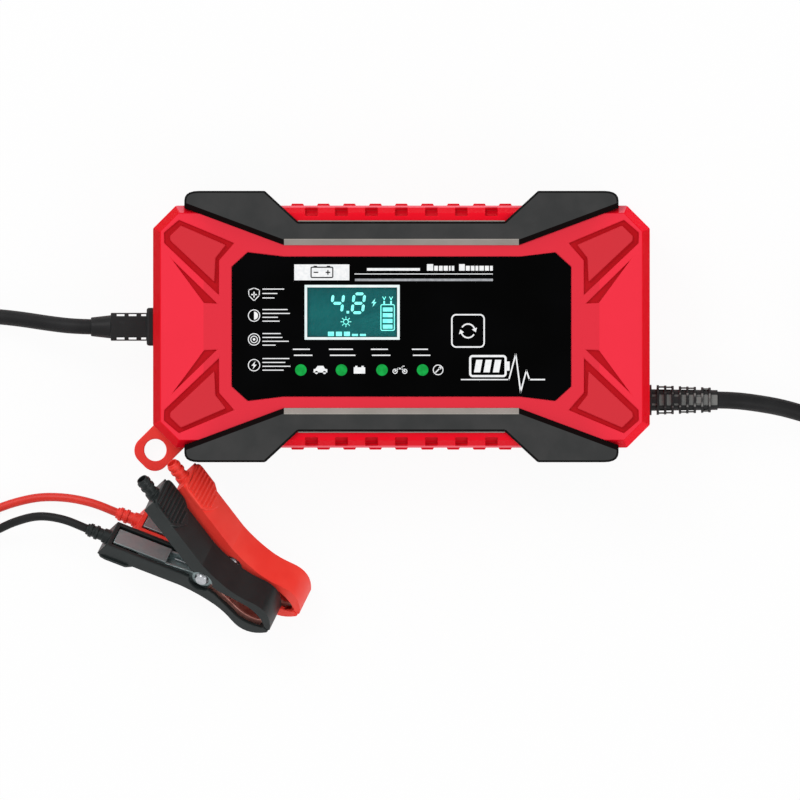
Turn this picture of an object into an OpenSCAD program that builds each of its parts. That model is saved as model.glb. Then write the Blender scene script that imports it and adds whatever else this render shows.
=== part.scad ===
// Car battery charger with a display, lying on its back, with its mains cord and its battery clamps.
// The origin is the middle of the housing's footprint on the surface. +X points to the mains cord,
// +Y to the top of the panel and +Z out of the panel. Lengths are in millimetres.

/* [Housing] */
// Length of the red housing
body_l = 174; // [165:1:200]
// Width of the red housing, without the bumpers
body_w = 84.8; // [82:0.2:100]
// Height of the front face
face_z = 42; // [41:0.5:56]
// Height of the line where the two shells meet
part_z = 21; // [18:0.5:24]
// Wall of the shells
wall = 2.4; // [1.8:0.1:2.8]
// Length of each 45 degree corner cut, measured along a side
corner_cut = 8; // [6:0.5:10]
// Width of the bevel around the front face
bevel_w = 2.7; // [1.5:0.1:3]
// Drop of the bevel around the front face
bevel_h = 4; // [2:0.5:5]
// Depth of the groove around each corner fin
fin_groove = 0.9; // [0.4:0.1:1.2]
// Height of each corner fin over the front face
fin_rise = 0.5; // [0.2:0.1:1]

/* [Bumpers] */
// How far a bumper stands out from the side of the housing
bumper_over = 5.1; // [3:0.1:7]
// How far a bumper stands over the front face
bumper_rise = 2.2; // [1:0.1:4]
// Height of the lower edge of a bumper's side blocks
bumper_foot = 5; // [3:0.5:12]
// Width of the light strip along a bumper's inner edge
trim_w = 2.2; // [1.5:0.1:3]
// Width of the bevel along a bumper's sloped edges
bumper_bevel = 1.8; // [0.8:0.1:2.5]

/* [Panel] */
// Thickness of the black front panel
panel_t = 1.2; // [0.8:0.1:1.6]
// Depth of the panel's seat in the front shell
panel_seat = 1; // [0.6:0.1:1.2]
// Length of the display window
lcd_l = 31.5; // [28:0.5:36]
// Width of the display window
lcd_w = 17.4; // [15:0.2:20]
// Width of the white bezel around the display
bezel_w = 0.9; // [0.6:0.1:1.4]
// Middle of the display window
lcd_at = [-17.25, 5];
// Radius of a status lamp
lamp_r = 2; // [1.5:0.1:2.5]
// Distance from one status lamp to the next
lamp_pitch = 14.2; // [13:0.1:15]
// Middle of the first status lamp
lamp_at = [-35.2, -15.2];
// Width of the square mode button
button_w = 12; // [10:0.5:14]
// Middle of the mode button
button_at = [23.3, -1.5];
// Travel of the mode button
button_travel = 0.6; // [0.3:0.1:0.8]

/* [Cords] */
// Height of both cord exits
exit_z = 21; // [18:0.5:24]
// Distance of the mains cord exit from the middle, towards the lower side
mains_y = 25.7; // [20:0.1:28]
// Diameter of the mains cord
mains_d = 6; // [5.6:0.1:6.2]
// Diameter of the output cord
output_d = 5.4; // [5:0.1:5.6]
// Diameter of each clamp lead
lead_d = 3; // [2.6:0.1:3.4]

/* [Hanging ear] */
// Width of the hanging ear
ear_w = 13.2; // [12:0.1:15]
// Thickness of the hanging ear
ear_t = 2.4; // [2:0.1:3]
// How far the ear stands out of the housing
ear_out = 12.8; // [12:0.1:16]
// Radius of the hole in the ear
ear_hole_r = 3.9; // [3:0.1:4.2]
// Travel of the ear into its slot
ear_travel = 11; // [6:0.5:11]

/* [Clamps] */
// Width of a clamp
clamp_w = 12; // [11:0.2:13]
// Wall of the plastic grips
grip_wall = 1.4; // [1:0.1:1.6]
// Thickness of the sheet metal jaws
jaw_t = 0.8; // [0.6:0.1:1]
// Radius of the pivot pin
pin_r = 1.5; // [1.2:0.1:1.8]
// Radius of the wire of the clamp spring
spring_wire_r = 0.4; // [0.3:0.05:0.5]

/* [Hidden] */

RED = [0.85, 0.15, 0.19];
DARK = [0.2, 0.2, 0.2];
BLACK = [0.08, 0.08, 0.08];
METAL = [0.7, 0.7, 0.72];
COPPER = [0.8, 0.5, 0.4];
BOARD = [0.1, 0.4, 0.25];

fine = 48;
eps = 0.01;
gap = 0.2;
half_l = body_l / 2;
half_w = body_w / 2;
inside_top = face_z - wall;

// ---------------------------------------------------------------- helpers

// Points of a quadratic curve from a to c that is pulled towards b.
function bend(a, b, c, n = 6) = [
    for (i = [0 : n]) let (t = i / n) a * pow(1 - t, 2) + b * 2 * t * (1 - t) + c * t * t];

// Mirrors its children to the four corners.
module four_ways() {
    for (sx = [0, 1]) for (sy = [0, 1]) mirror([sx, 0, 0]) mirror([0, sy, 0]) children();
}

// Mirrors its children to the left and the right.
module both_ends() {
    for (sx = [0, 1]) mirror([sx, 0, 0]) children();
}

// A square with rounded corners, around the origin.
module rounded(l, w, r) {
    square([l - 2 * r, w], center = true);
    square([l, w - 2 * r], center = true);
    for (x = [-1, 1]) for (y = [-1, 1]) translate([x * (l / 2 - r), y * (w / 2 - r)]) circle(r, $fn = 32);
}

// A cutter that bevels the upper edge from a to b of a plate whose material lies to the left.
module edge_cut(a, b, z, w, h, over = 0) {
    run = b - a;
    translate([a[0], a[1], z]) rotate([0, 0, atan2(run[1], run[0])]) rotate([90, 0, 90])
        translate([0, 0, -over]) linear_extrude(norm(run) + 2 * over)
            polygon([[w, 0], [0, -h], [-2, -h], [-2, 1], [w, 1]]);
}

// Tube of radius r swept along points, as one closed mesh of n sides.
function unit(v) = v / norm(v);
function tangent(p, i) = unit(p[min(i + 1, len(p) - 1)] - p[max(i - 1, 0)]);
function side_of(t) = unit(cross([0, 0, 1], t));
function ring(c, t, r, n) = let (s = side_of(t), u = cross(t, s))
    [for (k = [0 : n - 1]) let (a = 360 * (k + 0.5) / n) c + r * (cos(a) * s + sin(a) * u)];
module tube(points, d, sides = 10) {
    rows = len(points);
    rings = [for (i = [0 : rows - 1]) each ring(points[i], tangent(points, i), d / 2, sides)];
    walls = [for (i = [0 : rows - 2]) for (k = [0 : sides - 1]) let (a = i * sides + k)
        let (b = i * sides + (k + 1) % sides) each [[a, a + sides, b], [b, a + sides, b + sides]]];
    first = [for (k = [1 : sides - 2]) [0, k, k + 1]];
    base = (rows - 1) * sides;
    last = [for (k = [1 : sides - 2]) [base, base + k + 1, base + k]];
    polyhedron(rings, concat(walls, first, last), convexity = 10);
}

// Smooth curve through the points of a route, with a ring about every step millimetres.
function spline(p, i, t) = let (
    a = p[max(i - 1, 0)], b = p[i], c = p[i + 1], d = p[min(i + 2, len(p) - 1)])
    0.5 * (2 * b + (c - a) * t + (2 * a - 5 * b + 4 * c - d) * t * t + (3 * b - a - 3 * c + d) * t * t * t);
function smooth(p, step) = [
    for (i = [0 : len(p) - 2]) let (n = max(1, round(norm(p[i + 1] - p[i]) / step)))
        for (k = [0 : n - 1]) spline(p, i, k / n),
    p[len(p) - 1]
];

// A coil whose turns spiral in on the lower layer and out again on the upper one. It starts at the angle
// from and turns anticlockwise. The climb takes the half turn in which the spiral reverses.
coil_rings = 24;
layer_gap = 0.7;
function coil_radius(t, turns, r, pitch) = r - pitch * min(t, turns - t);
function coil_climb(t, turns) = let (u = min(1, max(0, 2 * (t - turns / 2) + 0.5))) u * u * (3 - 2 * u);
function coil_points(at, from, turns, r, pitch, d, lift) = [
    for (i = [0 : turns * coil_rings]) let (t = i / coil_rings, a = from + 360 * t)
        let (q = coil_radius(t, turns, r, pitch))
        [at[0] + q * cos(a), at[1] + q * sin(a), lift + d / 2 + (d + layer_gap) * coil_climb(t, turns)]
];
function coil_path(at, from, turns, r, pitch, d, lift) = let (
    p = coil_points(at, from, turns, r, pitch, d, lift), e = p[len(p) - 1], a = from + 360 * turns)
    concat([p[0] - d * [-sin(from), cos(from), 0]], p, [e + d * [-sin(a), cos(a), 0]]);
function least_gap(p, d, apart) = min([for (i = [0 : len(p) - 1]) for (j = [i + apart : 1 : len(p) - 1])
    norm(p[i] - p[j])]) - d;

// ---------------------------------------------------------------- housing

// Half profile of the housing across a side at distance h from the middle, moved inwards by inset.
function side_profile(h, inset) = let (slope = norm([bevel_w, bevel_h])) [
    [-(h - inset), base_bevel], [-(h - inset - base_bevel), 0],
    [h - inset - base_bevel, 0], [h - inset, base_bevel],
    [h - inset, face_z - bevel_h - inset * (slope - bevel_h) / bevel_w],
    [h - bevel_w - inset * (slope - bevel_w) / bevel_h, face_z - inset],
    [-(h - bevel_w - inset * (slope - bevel_w) / bevel_h), face_z - inset],
    [-(h - inset), face_z - bevel_h - inset * (slope - bevel_h) / bevel_w]
];
base_bevel = 1.5;
corner_h = (half_l + half_w - corner_cut) / sqrt(2);
module side_prism(h, inset) {
    rotate([90, 0, 0]) linear_extrude(3 * body_l, center = true) polygon(side_profile(h, inset));
}

// The housing's outer block, or its hollow with inset at the wall's thickness.
module block(inset = 0, low = 0) {
    intersection() {
        side_prism(half_l, inset);
        rotate([0, 0, 90]) side_prism(half_w, inset);
        rotate([0, 0, 45]) side_prism(corner_h, inset);
        rotate([0, 0, -45]) side_prism(corner_h, inset);
        translate([-body_l, -body_l, low]) cube([2 * body_l, 2 * body_l, face_z + 1 - low]);
    }
}

// Corner fin: points measured inwards from the housing's corner.
function from_corner(points) = [for (p = points) [half_l - p[0], half_w - p[1]]];
fin_outer = from_corner([[3.9, 9.5], [9.1, 5.1], [28.4, 13.2], [23.1, 19.2], [23.1, 31.3], [4, 13.2]]);
fin_inner = from_corner([[6, 10.7], [9.8, 7], [25.5, 13.8], [21.9, 18.4], [21.5, 26.8], [6.1, 12.3]]);
fin_fold = from_corner([[7, 19.3], [13.9, 28.6], [17.9, 34.1], [22.4, 34.3]]);

// Screw posts that join the shells.
post_inset = [27, 7.9];
post_x = half_l - post_inset[0];
post_y = half_w - post_inset[1];
screw_r = 1.5;
screw_head_r = 3;
screw_head_h = 2.2;
screw_seat = 6;
post_r = 4.2;
module at_posts() {
    four_ways() translate([post_x, post_y, 0]) children();
}

// Grip ribs on the sides and shallow pockets in the bevel, between the bumpers.
tooth_pitch = 9.1;
tooth_w = 4.2;
tooth_out = 0.7;
pocket_pitch = 10.5;
pocket_w = 4.3;
pocket_l = 3;
pocket_edge = 0.65;
pocket_depth = 1.4;
pocket_count = 3;

module front_shell() color(RED) {
    difference() {
        block(0, part_z);
        block(wall, part_z - eps);
        four_ways() translate([0, 0, face_z - fin_groove]) linear_extrude(2) polygon(fin_outer);
        four_ways() translate([0, 0, face_z - fin_groove]) linear_extrude(2) polygon(fin_fold);
        translate([0, 0, face_z - panel_seat]) linear_extrude(2) panel_outline();
        translate([lcd_at[0], lcd_at[1], inside_top - 1])
            linear_extrude(wall + 1) square([lcd_l + 2 * gap, lcd_w + 2 * gap], center = true);
        at_lamps() translate([0, 0, inside_top - 1]) cylinder(r = lamp_r + 0.1, h = wall + 1, $fn = fine);
        translate([button_at[0], button_at[1], inside_top - 1])
            linear_extrude(wall + 1) rounded(button_w + 2 * button_gap, button_w + 2 * button_gap, 1.9);
        both_sides() for (i = [-pocket_count : pocket_count]) translate([i * pocket_pitch, 0, 0]) pocket();
        for (relief = reliefs) translate([relief[0], relief[1], exit_z]) rotate([0, 90, 0])
            cylinder(r = neck_r + 0.1, h = 4 * wall, center = true, $fn = fine);
    }
    four_ways() translate([0, 0, face_z - fin_groove - eps]) linear_extrude(fin_groove + fin_rise)
        polygon(fin_inner);
    both_sides() for (i = [-4 : 4]) translate([i * tooth_pitch, half_w - 0.5, part_z]) grip_tooth();
    at_posts() difference() {
        translate([0, 0, part_z]) cylinder(r = post_r, h = inside_top + eps - part_z, $fn = fine);
        translate([0, 0, part_z - eps]) cylinder(r = screw_r + 0.05, h = 10, $fn = fine);
    }
    for (x = [-1, 1]) for (y = [-1, 1]) translate([display_mid[0] + x * display_hole[0],
        display_mid[1] + y * display_hole[1], 0]) difference() {
            translate([0, 0, on_display]) cylinder(r = 2.6, h = inside_top + eps - on_display, $fn = fine);
            translate([0, 0, display_z]) cylinder(r = 1.05, h = inside_top - display_z - 0.6, $fn = 32);
        }
}

module both_sides() {
    for (sy = [0, 1]) mirror([0, sy, 0]) children();
}

// One rib of the grip on the side wall, rounded like a half cushion.
module grip_tooth() {
    height = face_z - bevel_h - part_z - 1;
    translate([0, 0, height / 2]) cube([tooth_w, 2 * (tooth_out + 0.5), height], center = true);
}

// One shallow pocket over the bevel's crest, with its floor parallel to the slope.
module pocket() {
    slope = atan2(bevel_h, bevel_w);
    out = [sin(slope), cos(slope)];
    crest = [half_w - bevel_w, face_z];
    low = crest + [1, -tan(slope)] * (bevel_w - pocket_edge);
    end = half_w - pocket_edge - pocket_l;
    under_crest = crest - pocket_depth * out;
    floor_z = under_crest[1] - (end - under_crest[0]) * tan(slope);
    rotate([90, 0, 90]) linear_extrude(pocket_w, center = true)
        polygon([
            [end, face_z + 1], [end, floor_z], low - pocket_depth * out, low + out,
            [low[0] + out[0], face_z + 1]
        ]);
}

module rear_shell() color(RED) {
    difference() {
        intersection() {
            block(0, 0);
            translate([0, 0, part_z / 2]) cube([2 * body_l, 2 * body_l, part_z], center = true);
        }
        block(wall, wall);
        at_posts() translate([0, 0, -eps]) cylinder(r = screw_head_r + 0.6, h = screw_seat, $fn = fine);
        ear_frame() translate([0, 0, ear_z - gap])
            translate([-ear_slot_w / 2, -30, 0]) cube([ear_slot_w, 40, ear_t + 2 * gap]);
        for (relief = reliefs) translate([relief[0], relief[1], exit_z]) rotate([0, 90, 0])
            cylinder(r = neck_r + 0.1, h = 4 * wall, center = true, $fn = fine);
        for (i = [-vent_count : vent_count]) translate([i * vent_pitch + vent_x, 0, 0])
            cube([vent_w, vent_l, 4 * wall], center = true);
    }
    at_posts() difference() {
        cylinder(r = post_r + 1, h = part_z, $fn = fine);
        translate([0, 0, -eps]) cylinder(r = screw_head_r + 0.6, h = screw_seat, $fn = fine);
        cylinder(r = screw_r + 0.2, h = part_z + eps, $fn = fine);
    }
    at_board_posts() difference() {
        translate([0, 0, wall - eps]) cylinder(r = 3, h = board_z - wall + eps, $fn = 32);
        translate([0, 0, wall + 1]) cylinder(r = 1.25, h = board_z, $fn = 32);
    }
    ear_guides();
    both_sides() for (i = [-4 : 4]) translate([i * tooth_pitch, half_w - 0.5, bumper_foot]) rear_tooth();
}

module rear_tooth() {
    height = part_z - bumper_foot;
    translate([0, 0, height / 2]) cube([tooth_w, 2 * (tooth_out + 0.5), height], center = true);
}

vent_count = 5;
vent_pitch = 6;
vent_x = 15;
vent_w = 2;
vent_l = 34;

// Bumper outline, upper half of the object, measured from the middle line.
end_inset = 11;
end_bend = [5.1, 3.4];
flat_l = 23.1;
knee_run = [11.6, 10.75];
inner_l = 4.9;
bar_w = 8.25;
tail_drop = 0.9;
bumper_end = half_l - end_inset;
bumper_flat = bumper_end - end_bend[0];
bumper_knee = bumper_flat - flat_l;
bumper_waist = bumper_knee - knee_run[0];
bumper_inner = bumper_waist + inner_l;
bumper_y = half_w + bumper_over;
waist_y = bumper_y - knee_run[1];
inner_y = waist_y - bar_w;
tail_y = half_w - tail_drop;
bumper_z = face_z + bumper_rise;
bevel_drop = bumper_rise - 0.4;
bumper_half = concat(
    [[bumper_inner, inner_y], [bumper_end, tail_y]],
    bend([bumper_end, bumper_y - end_bend[1]], [bumper_end, bumper_y], [bumper_flat, bumper_y], 5),
    [[bumper_knee, bumper_y], [bumper_waist, waist_y]]);
bumper_last = len(bumper_half) - 1;
edge_w = 0.7;
edge_h = 0.9;
bumper_outline = concat(bumper_half, [
    for (i = [bumper_last : -1 : 0]) [-bumper_half[i][0], bumper_half[i][1]]]);

module bumper() color(DARK) {
    difference() {
        union() {
            translate([0, 0, face_z]) linear_extrude(bumper_rise) polygon(bumper_outline);
            both_ends() intersection() {
                translate([0, 0, bumper_foot])
                    linear_extrude(face_z - bumper_foot + eps) polygon(bumper_outline);
                translate([bumper_waist, half_w - bevel_w - 1, 0]) cube([60, 20, 60]);
            }
        }
        block(0, 0);
        four_ways() translate([0, 0, face_z - 1]) linear_extrude(1) polygon(fin_outer);
        both_ends() {
            edge_cut([bumper_inner, inner_y], [bumper_end, tail_y], bumper_z, bumper_bevel, bevel_drop, 1);
            for (i = [1 : bumper_last - 1])
                edge_cut(bumper_half[i], bumper_half[i + 1], bumper_z, edge_w, edge_h, 0.2);
        }
        edge_cut([bumper_waist, waist_y], [-bumper_waist, waist_y], bumper_z, edge_w, edge_h);
        trim_room();
    }
}

// The room of a light trim: a groove along the bar's inner edge, and a thin layer under the bar.
trim_layer = 0.5;
trim_lip = 0.4;
module trim_room() {
    translate([-bumper_inner, inner_y - 1, face_z]) cube([2 * bumper_inner, trim_w + 1, bumper_rise + 1]);
    translate([-bumper_waist, inner_y, face_z])
        cube([2 * bumper_waist, waist_y - inner_y + trim_lip, trim_layer]);
}

module upper_bumper() {
    bumper();
}

module lower_bumper() {
    mirror([0, 1, 0]) bumper();
}

// Light trim: a sloping strip on the inner edge of a bumper's bar, and a layer that shows beyond the bar.
module trim_strip() color([0.55, 0.56, 0.53]) {
    difference() {
        intersection() {
            trim_room();
            translate([-bumper_inner, inner_y, face_z]) cube([2 * bumper_inner, 20, bumper_rise]);
        }
        edge_cut([-bumper_inner, inner_y], [bumper_inner, inner_y], bumper_z, trim_w - 0.3, bevel_drop, 1);
    }
}

module upper_trim_strip() {
    trim_strip();
}

module lower_trim_strip() {
    mirror([0, 1, 0]) trim_strip();
}

// ---------------------------------------------------------------- panel and display

panel_x = half_l - 27.7;
panel_y = half_w - 18;
panel_right = concat(
    [[panel_x - 17.9, panel_y], [panel_x - 5.5, panel_y + 1.5], [panel_x, panel_y - 3.5]],
    [[panel_x, -(panel_y - 3.5)], [panel_x - 5.5, -(panel_y + 1.5)], [panel_x - 17.9, -panel_y]]);
module panel_outline() {
    last = len(panel_right) - 1;
    polygon(concat(panel_right, [for (i = [last : -1 : 0]) [-panel_right[i][0], panel_right[i][1]]]));
}
panel_z = face_z - panel_seat;
panel_top = panel_z + panel_t;
button_gap = 0.15;

module at_lamps() {
    for (i = [0 : 3]) translate([lamp_at[0] + i * lamp_pitch, lamp_at[1], 0]) children();
}

module front_panel() color(BLACK) {
    translate([0, 0, panel_z]) linear_extrude(panel_t) difference() {
        panel_outline();
        translate(lcd_at) square([lcd_l + 2 * gap, lcd_w + 2 * gap], center = true);
        at_lamps() circle(lamp_r + 0.05, $fn = fine);
        translate(button_at) rounded(button_w + 2 * button_gap, button_w + 2 * button_gap, 1.9);
    }
}

module lcd_bezel() color("white") {
    translate([lcd_at[0], lcd_at[1], panel_top]) linear_extrude(0.4) difference() {
        square([lcd_l + 2 * bezel_w, lcd_w + 2 * bezel_w], center = true);
        square([lcd_l, lcd_w], center = true);
    }
}

// Clear window over the display cell.
glass_t = 1;
module lcd_glass() color([0.1, 0.4, 0.4]) {
    translate([lcd_at[0], lcd_at[1], panel_top + 0.1 - glass_t]) linear_extrude(glass_t)
        square([lcd_l, lcd_w], center = true);
}

// Display cell on its frame, which stands on the display board.
module lcd_module() color([0.5, 0.6, 0.6]) {
    translate([lcd_at[0], lcd_at[1], on_display]) {
        linear_extrude(inside_top - on_display - gap) square([lcd_l + 6, lcd_w + 5], center = true);
        linear_extrude(panel_top + 0.1 - glass_t - on_display)
            square([lcd_l - 0.4, lcd_w - 0.4], center = true);
    }
}

module led_lenses() color([0.1, 0.7, 0.3]) {
    at_lamps() translate([0, 0, inside_top - 1]) {
        cylinder(r = lamp_r, h = panel_top + 0.3 - inside_top + 1, $fn = fine);
        cylinder(r = lamp_r + 0.7, h = 1, $fn = fine);
    }
}

module status_leds() color("white") {
    at_lamps() translate([0, 0, on_display]) cylinder(r = 1.5, h = inside_top - 1.3 - on_display, $fn = 32);
}

cap_low = inside_top - 1.5;
key_stem = 1.1;
module mode_button() color(BLACK) {
    translate([button_at[0], button_at[1], cap_low]) {
        linear_extrude(panel_top + 0.6 - cap_low) rounded(button_w, button_w, 1.75);
        linear_extrude(1.3) square(button_w + 2, center = true);
        translate([0, 0, -key_stem]) cylinder(r = 1.5, h = key_stem + 0.1, $fn = 32);
    }
}

module tact_switch() color("silver") {
    translate([button_at[0], button_at[1], on_display]) difference() {
        linear_extrude(cap_low - button_travel - 0.2 - on_display) square(6, center = true);
        translate([0, 0, cap_low - key_stem - button_travel - 0.1 - on_display])
            cylinder(r = 1.55, h = 5, $fn = 32);
    }
}

board_t = 1.6;
display_z = face_z - 8;
on_display = display_z + board_t;
display_mid = [0, -2];
display_size = [96, 44];
hole_inset = 4;
display_hole = display_size / 2 - [hole_inset, hole_inset];
module display_board() color(BOARD) {
    translate([display_mid[0], display_mid[1], display_z]) difference() {
        linear_extrude(board_t) square(display_size, center = true);
        for (x = [-1, 1]) for (y = [-1, 1]) translate([x * display_hole[0], y * display_hole[1], -1])
            cylinder(r = 1.3, h = board_t + 2, $fn = 32);
    }
}

module display_screws() color(METAL) {
    for (x = [-1, 1]) for (y = [-1, 1])
        translate([display_mid[0] + x * display_hole[0], display_mid[1] + y * display_hole[1], 0]) {
            translate([0, 0, display_z - 1.4]) cylinder(r = 2.1, h = 1.4, $fn = 32);
            translate([0, 0, display_z - eps]) cylinder(r = 1, h = board_t + 2.4, $fn = 32);
        }
}

// Header between the two boards, near the display board's right end.
link_size = [3, 20];
link_x = display_mid[0] + display_size[0] / 2 - 12;
module board_link() color(BLACK) {
    translate([link_x, 0, board_z + board_t])
        cube([link_size[0], link_size[1], display_z - board_z - board_t]);
}

// ---------------------------------------------------------------- power electronics

board_z = 9;
board_size = [106, 54];
board_mid = [5, 0];
board_low = board_mid - board_size / 2;
module at_board_posts() {
    reach = board_size / 2 - [hole_inset, hole_inset];
    for (x = [-1, 1]) for (y = [-1, 1])
        translate([board_mid[0] + x * reach[0], board_mid[1] + y * reach[1], 0]) children();
}

module main_board() color(BOARD) {
    difference() {
        translate([board_low[0], board_low[1], board_z]) cube([board_size[0], board_size[1], board_t]);
        at_board_posts() translate([0, 0, board_z - 1]) cylinder(r = 1.6, h = board_t + 2, $fn = 32);
    }
}

module board_screws() color(METAL) {
    at_board_posts() {
        translate([0, 0, board_z + board_t]) cylinder(r = 2.5, h = 1.6, $fn = 32);
        translate([0, 0, board_z - 4]) cylinder(r = 1.2, h = 4 + board_t + eps, $fn = 32);
    }
}

// Square core of two E halves around a round leg, on the winding's bobbin.
on_board = board_z + board_t;
core_at = [board_mid[0] + 3, board_mid[1] + 3];
core_size = [28, 12, 19];
core_leg = 4;
core_leg_r = 5;
bobbin_t = 2;
bobbin_size = [22, 4];
winding_r = 9.6;
module transformer_core() color([0.25, 0.25, 0.27]) {
    translate([core_at[0], core_at[1], on_board + bobbin_t]) {
        for (z = [0, core_size[2] - core_leg]) translate([-core_size[0] / 2, -core_size[1] / 2, z])
            cube([core_size[0], core_size[1], core_leg]);
        for (x = [-core_size[0] / 2, core_size[0] / 2 - core_leg]) translate([x, -core_size[1] / 2, 0])
            cube([core_leg, core_size[1], core_size[2]]);
        translate([0, 0, core_leg - 1])
            cylinder(r = core_leg_r, h = core_size[2] - 2 * core_leg + 2, $fn = fine);
    }
}

module winding_tube(r, z, h) {
    translate([0, 0, z]) cylinder(r = r, h = h, $fn = fine);
}

module transformer_winding() color([0.9, 0.8, 0.3]) {
    low = bobbin_t + core_leg + gap;
    translate([core_at[0], core_at[1], on_board]) {
        difference() {
            winding_tube(winding_r, low, core_size[2] - 2 * core_leg - 2 * gap);
            winding_tube(core_leg_r + 0.1, low - 1, core_size[2]);
        }
        for (y = [-1, 1]) translate([-bobbin_size[0] / 2, y * (core_size[1] / 2 + 3) - bobbin_size[1] / 2, 0])
            cube([bobbin_size[0], bobbin_size[1], bobbin_t]);
        for (y = [-1, 1]) translate([-3, y * (core_size[1] / 2 + 2.2) - 1, bobbin_t - 0.5])
            cube([6, 2, core_leg + 1]);
    }
}

// Each capacitor's place, radius and height. Two stand near the board's left end and two beside the link.
capacitor_gap = 2;
mains_x = board_low[0] + 14;
output_r = 5;
output_x = link_x + link_size[0] + capacitor_gap + output_r;
capacitors = [
    [mains_x, 12, 6.3, 20], [mains_x, -4, 5, 18], [output_x, 14, output_r, 16], [output_x, 2, output_r, 16]];
module filter_capacitors() color([0.15, 0.15, 0.3]) {
    for (c = capacitors) translate([c[0], board_mid[1] + c[1], on_board])
        cylinder(r = c[2], h = c[3], $fn = fine);
}

choke_at = [board_low[0] + board_size[0] - 12, board_mid[1] - 15];
choke_r = [3, 7];
choke_h = 9;
module line_choke() color([0.75, 0.45, 0.2]) {
    translate([choke_at[0], choke_at[1], on_board]) difference() {
        cylinder(r = choke_r[1], h = choke_h, $fn = fine);
        translate([0, 0, -1]) cylinder(r = choke_r[0], h = choke_h + 2, $fn = fine);
    }
}

// Two finned plates near the board's long edges, each with two transistors on its inner side.
sink_size = [46, 3, 18];
sink_x = board_mid[0] - 27;
sink_y = board_size[1] / 2 - 6;
sink_fin = [1.2, 3, 12];
sink_pitch = 6;
fin_y = (sink_size[1] + sink_fin[1] - 0.2) / 2;
transistor = [10, 4.6, 15];
transistor_y = sink_y - (sink_size[1] + transistor[1]) / 2;
module heat_sinks() color(METAL) {
    for (y = [-1, 1]) translate([sink_x, board_mid[1] + y * sink_y, on_board]) {
        translate([0, -sink_size[1] / 2, 0]) cube(sink_size);
        for (i = [0 : 7])
            translate([1 + i * sink_pitch, y * fin_y - sink_fin[1] / 2, sink_size[2] - sink_fin[2]])
                cube(sink_fin);
    }
}

module power_transistors() color(BLACK) {
    for (y = [-1, 1]) for (x = [8, 32])
        translate([sink_x + x, board_mid[1] + y * transistor_y - transistor[1] / 2, on_board])
            cube(transistor);
}

rectifier = [4, 14, 10];
module bridge_rectifier() color(BLACK) {
    translate([board_mid[0] + 23, board_low[1] + 5, on_board]) cube(rectifier);
}

fuse_l = 18;
fuse_r = 2.6;
fuse_clip = [1.5, 6.4, 5];
module fuse() color([0.9, 0.9, 0.85]) {
    translate([board_mid[0] - 27, board_mid[1] - 11, on_board + fuse_clip[1] / 2 + 0.3]) rotate([0, 90, 0]) {
        cylinder(r = fuse_r, h = fuse_l, $fn = 32);
        for (z = [0, fuse_l - fuse_clip[2]]) translate([2, -fuse_clip[1] / 2, z]) cube(fuse_clip);
    }
}

relay = [14, 17, 15];
module output_relay() color([0.2, 0.35, 0.7]) {
    translate([board_mid[0] - 27, board_mid[1] - 5, on_board]) cube(relay);
}

module housing_screws() color(METAL) {
    at_posts() {
        translate([0, 0, screw_seat - screw_head_h - 2 * eps])
            cylinder(r = screw_head_r, h = screw_head_h, $fn = fine);
        translate([0, 0, screw_seat - 3 * eps])
            cylinder(r = screw_r, h = part_z + 8 - screw_seat, $fn = fine);
    }
}

// ---------------------------------------------------------------- hanging ear

// The ear's own frame: the origin on the corner cut, +Y straight out of the housing.
ear_z = wall + gap;
ear_slot_w = ear_w + 2 * gap;
ear_tail = 9;
ear_hole_out = 6;
module ear_frame() {
    translate([-(half_l - corner_cut / 2) + 0.65, -(half_w - corner_cut / 2) - 0.65, 0])
        rotate([0, 0, 135]) children();
}

module hanging_ear() color([1, 0.33, 0.31]) {
    ear_frame() translate([0, 0, ear_z]) linear_extrude(ear_t) difference() {
        union() {
            translate([-ear_w / 2, -ear_tail]) square([ear_w, ear_tail + ear_out - 5]);
            translate([0, ear_out - 5]) square([ear_w - 10, 10], center = true);
            for (x = [-1, 1]) translate([x * (ear_w / 2 - 5), ear_out - 5]) circle(5, $fn = fine);
        }
        translate([0, ear_hole_out]) circle(ear_hole_r, $fn = fine);
    }
}

// Two rails, a bridge and a stop that guide the ear on the floor of the rear shell.
rail_t = 1.6;
bridge_t = 1.2;
module ear_guides() {
    length = ear_tail + ear_travel + 1;
    wide = ear_slot_w + 2 * rail_t;
    high = ear_t + 2 * gap;
    ear_frame() translate([-wide / 2, -length, wall - eps]) {
        for (x = [0, wide - rail_t]) translate([x, 0, 0]) cube([rail_t, length - 2 * wall, high + bridge_t]);
        translate([0, 0, high]) cube([wide, length - 2 * wall, bridge_t]);
        translate([0, -bridge_t, 0]) cube([wide, bridge_t + 0.1, high + bridge_t]);
    }
}

// ---------------------------------------------------------------- strain reliefs

neck_r = 4.2;
flange_t = 2.4;
mains_flange_r = 6.2;
relief_l = 24;
relief_ring = 0.8;
relief_pitch = 2.6;
relief_rings = 9;
reliefs = [[-half_l, 0], [half_l, -mains_y]];

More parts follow.
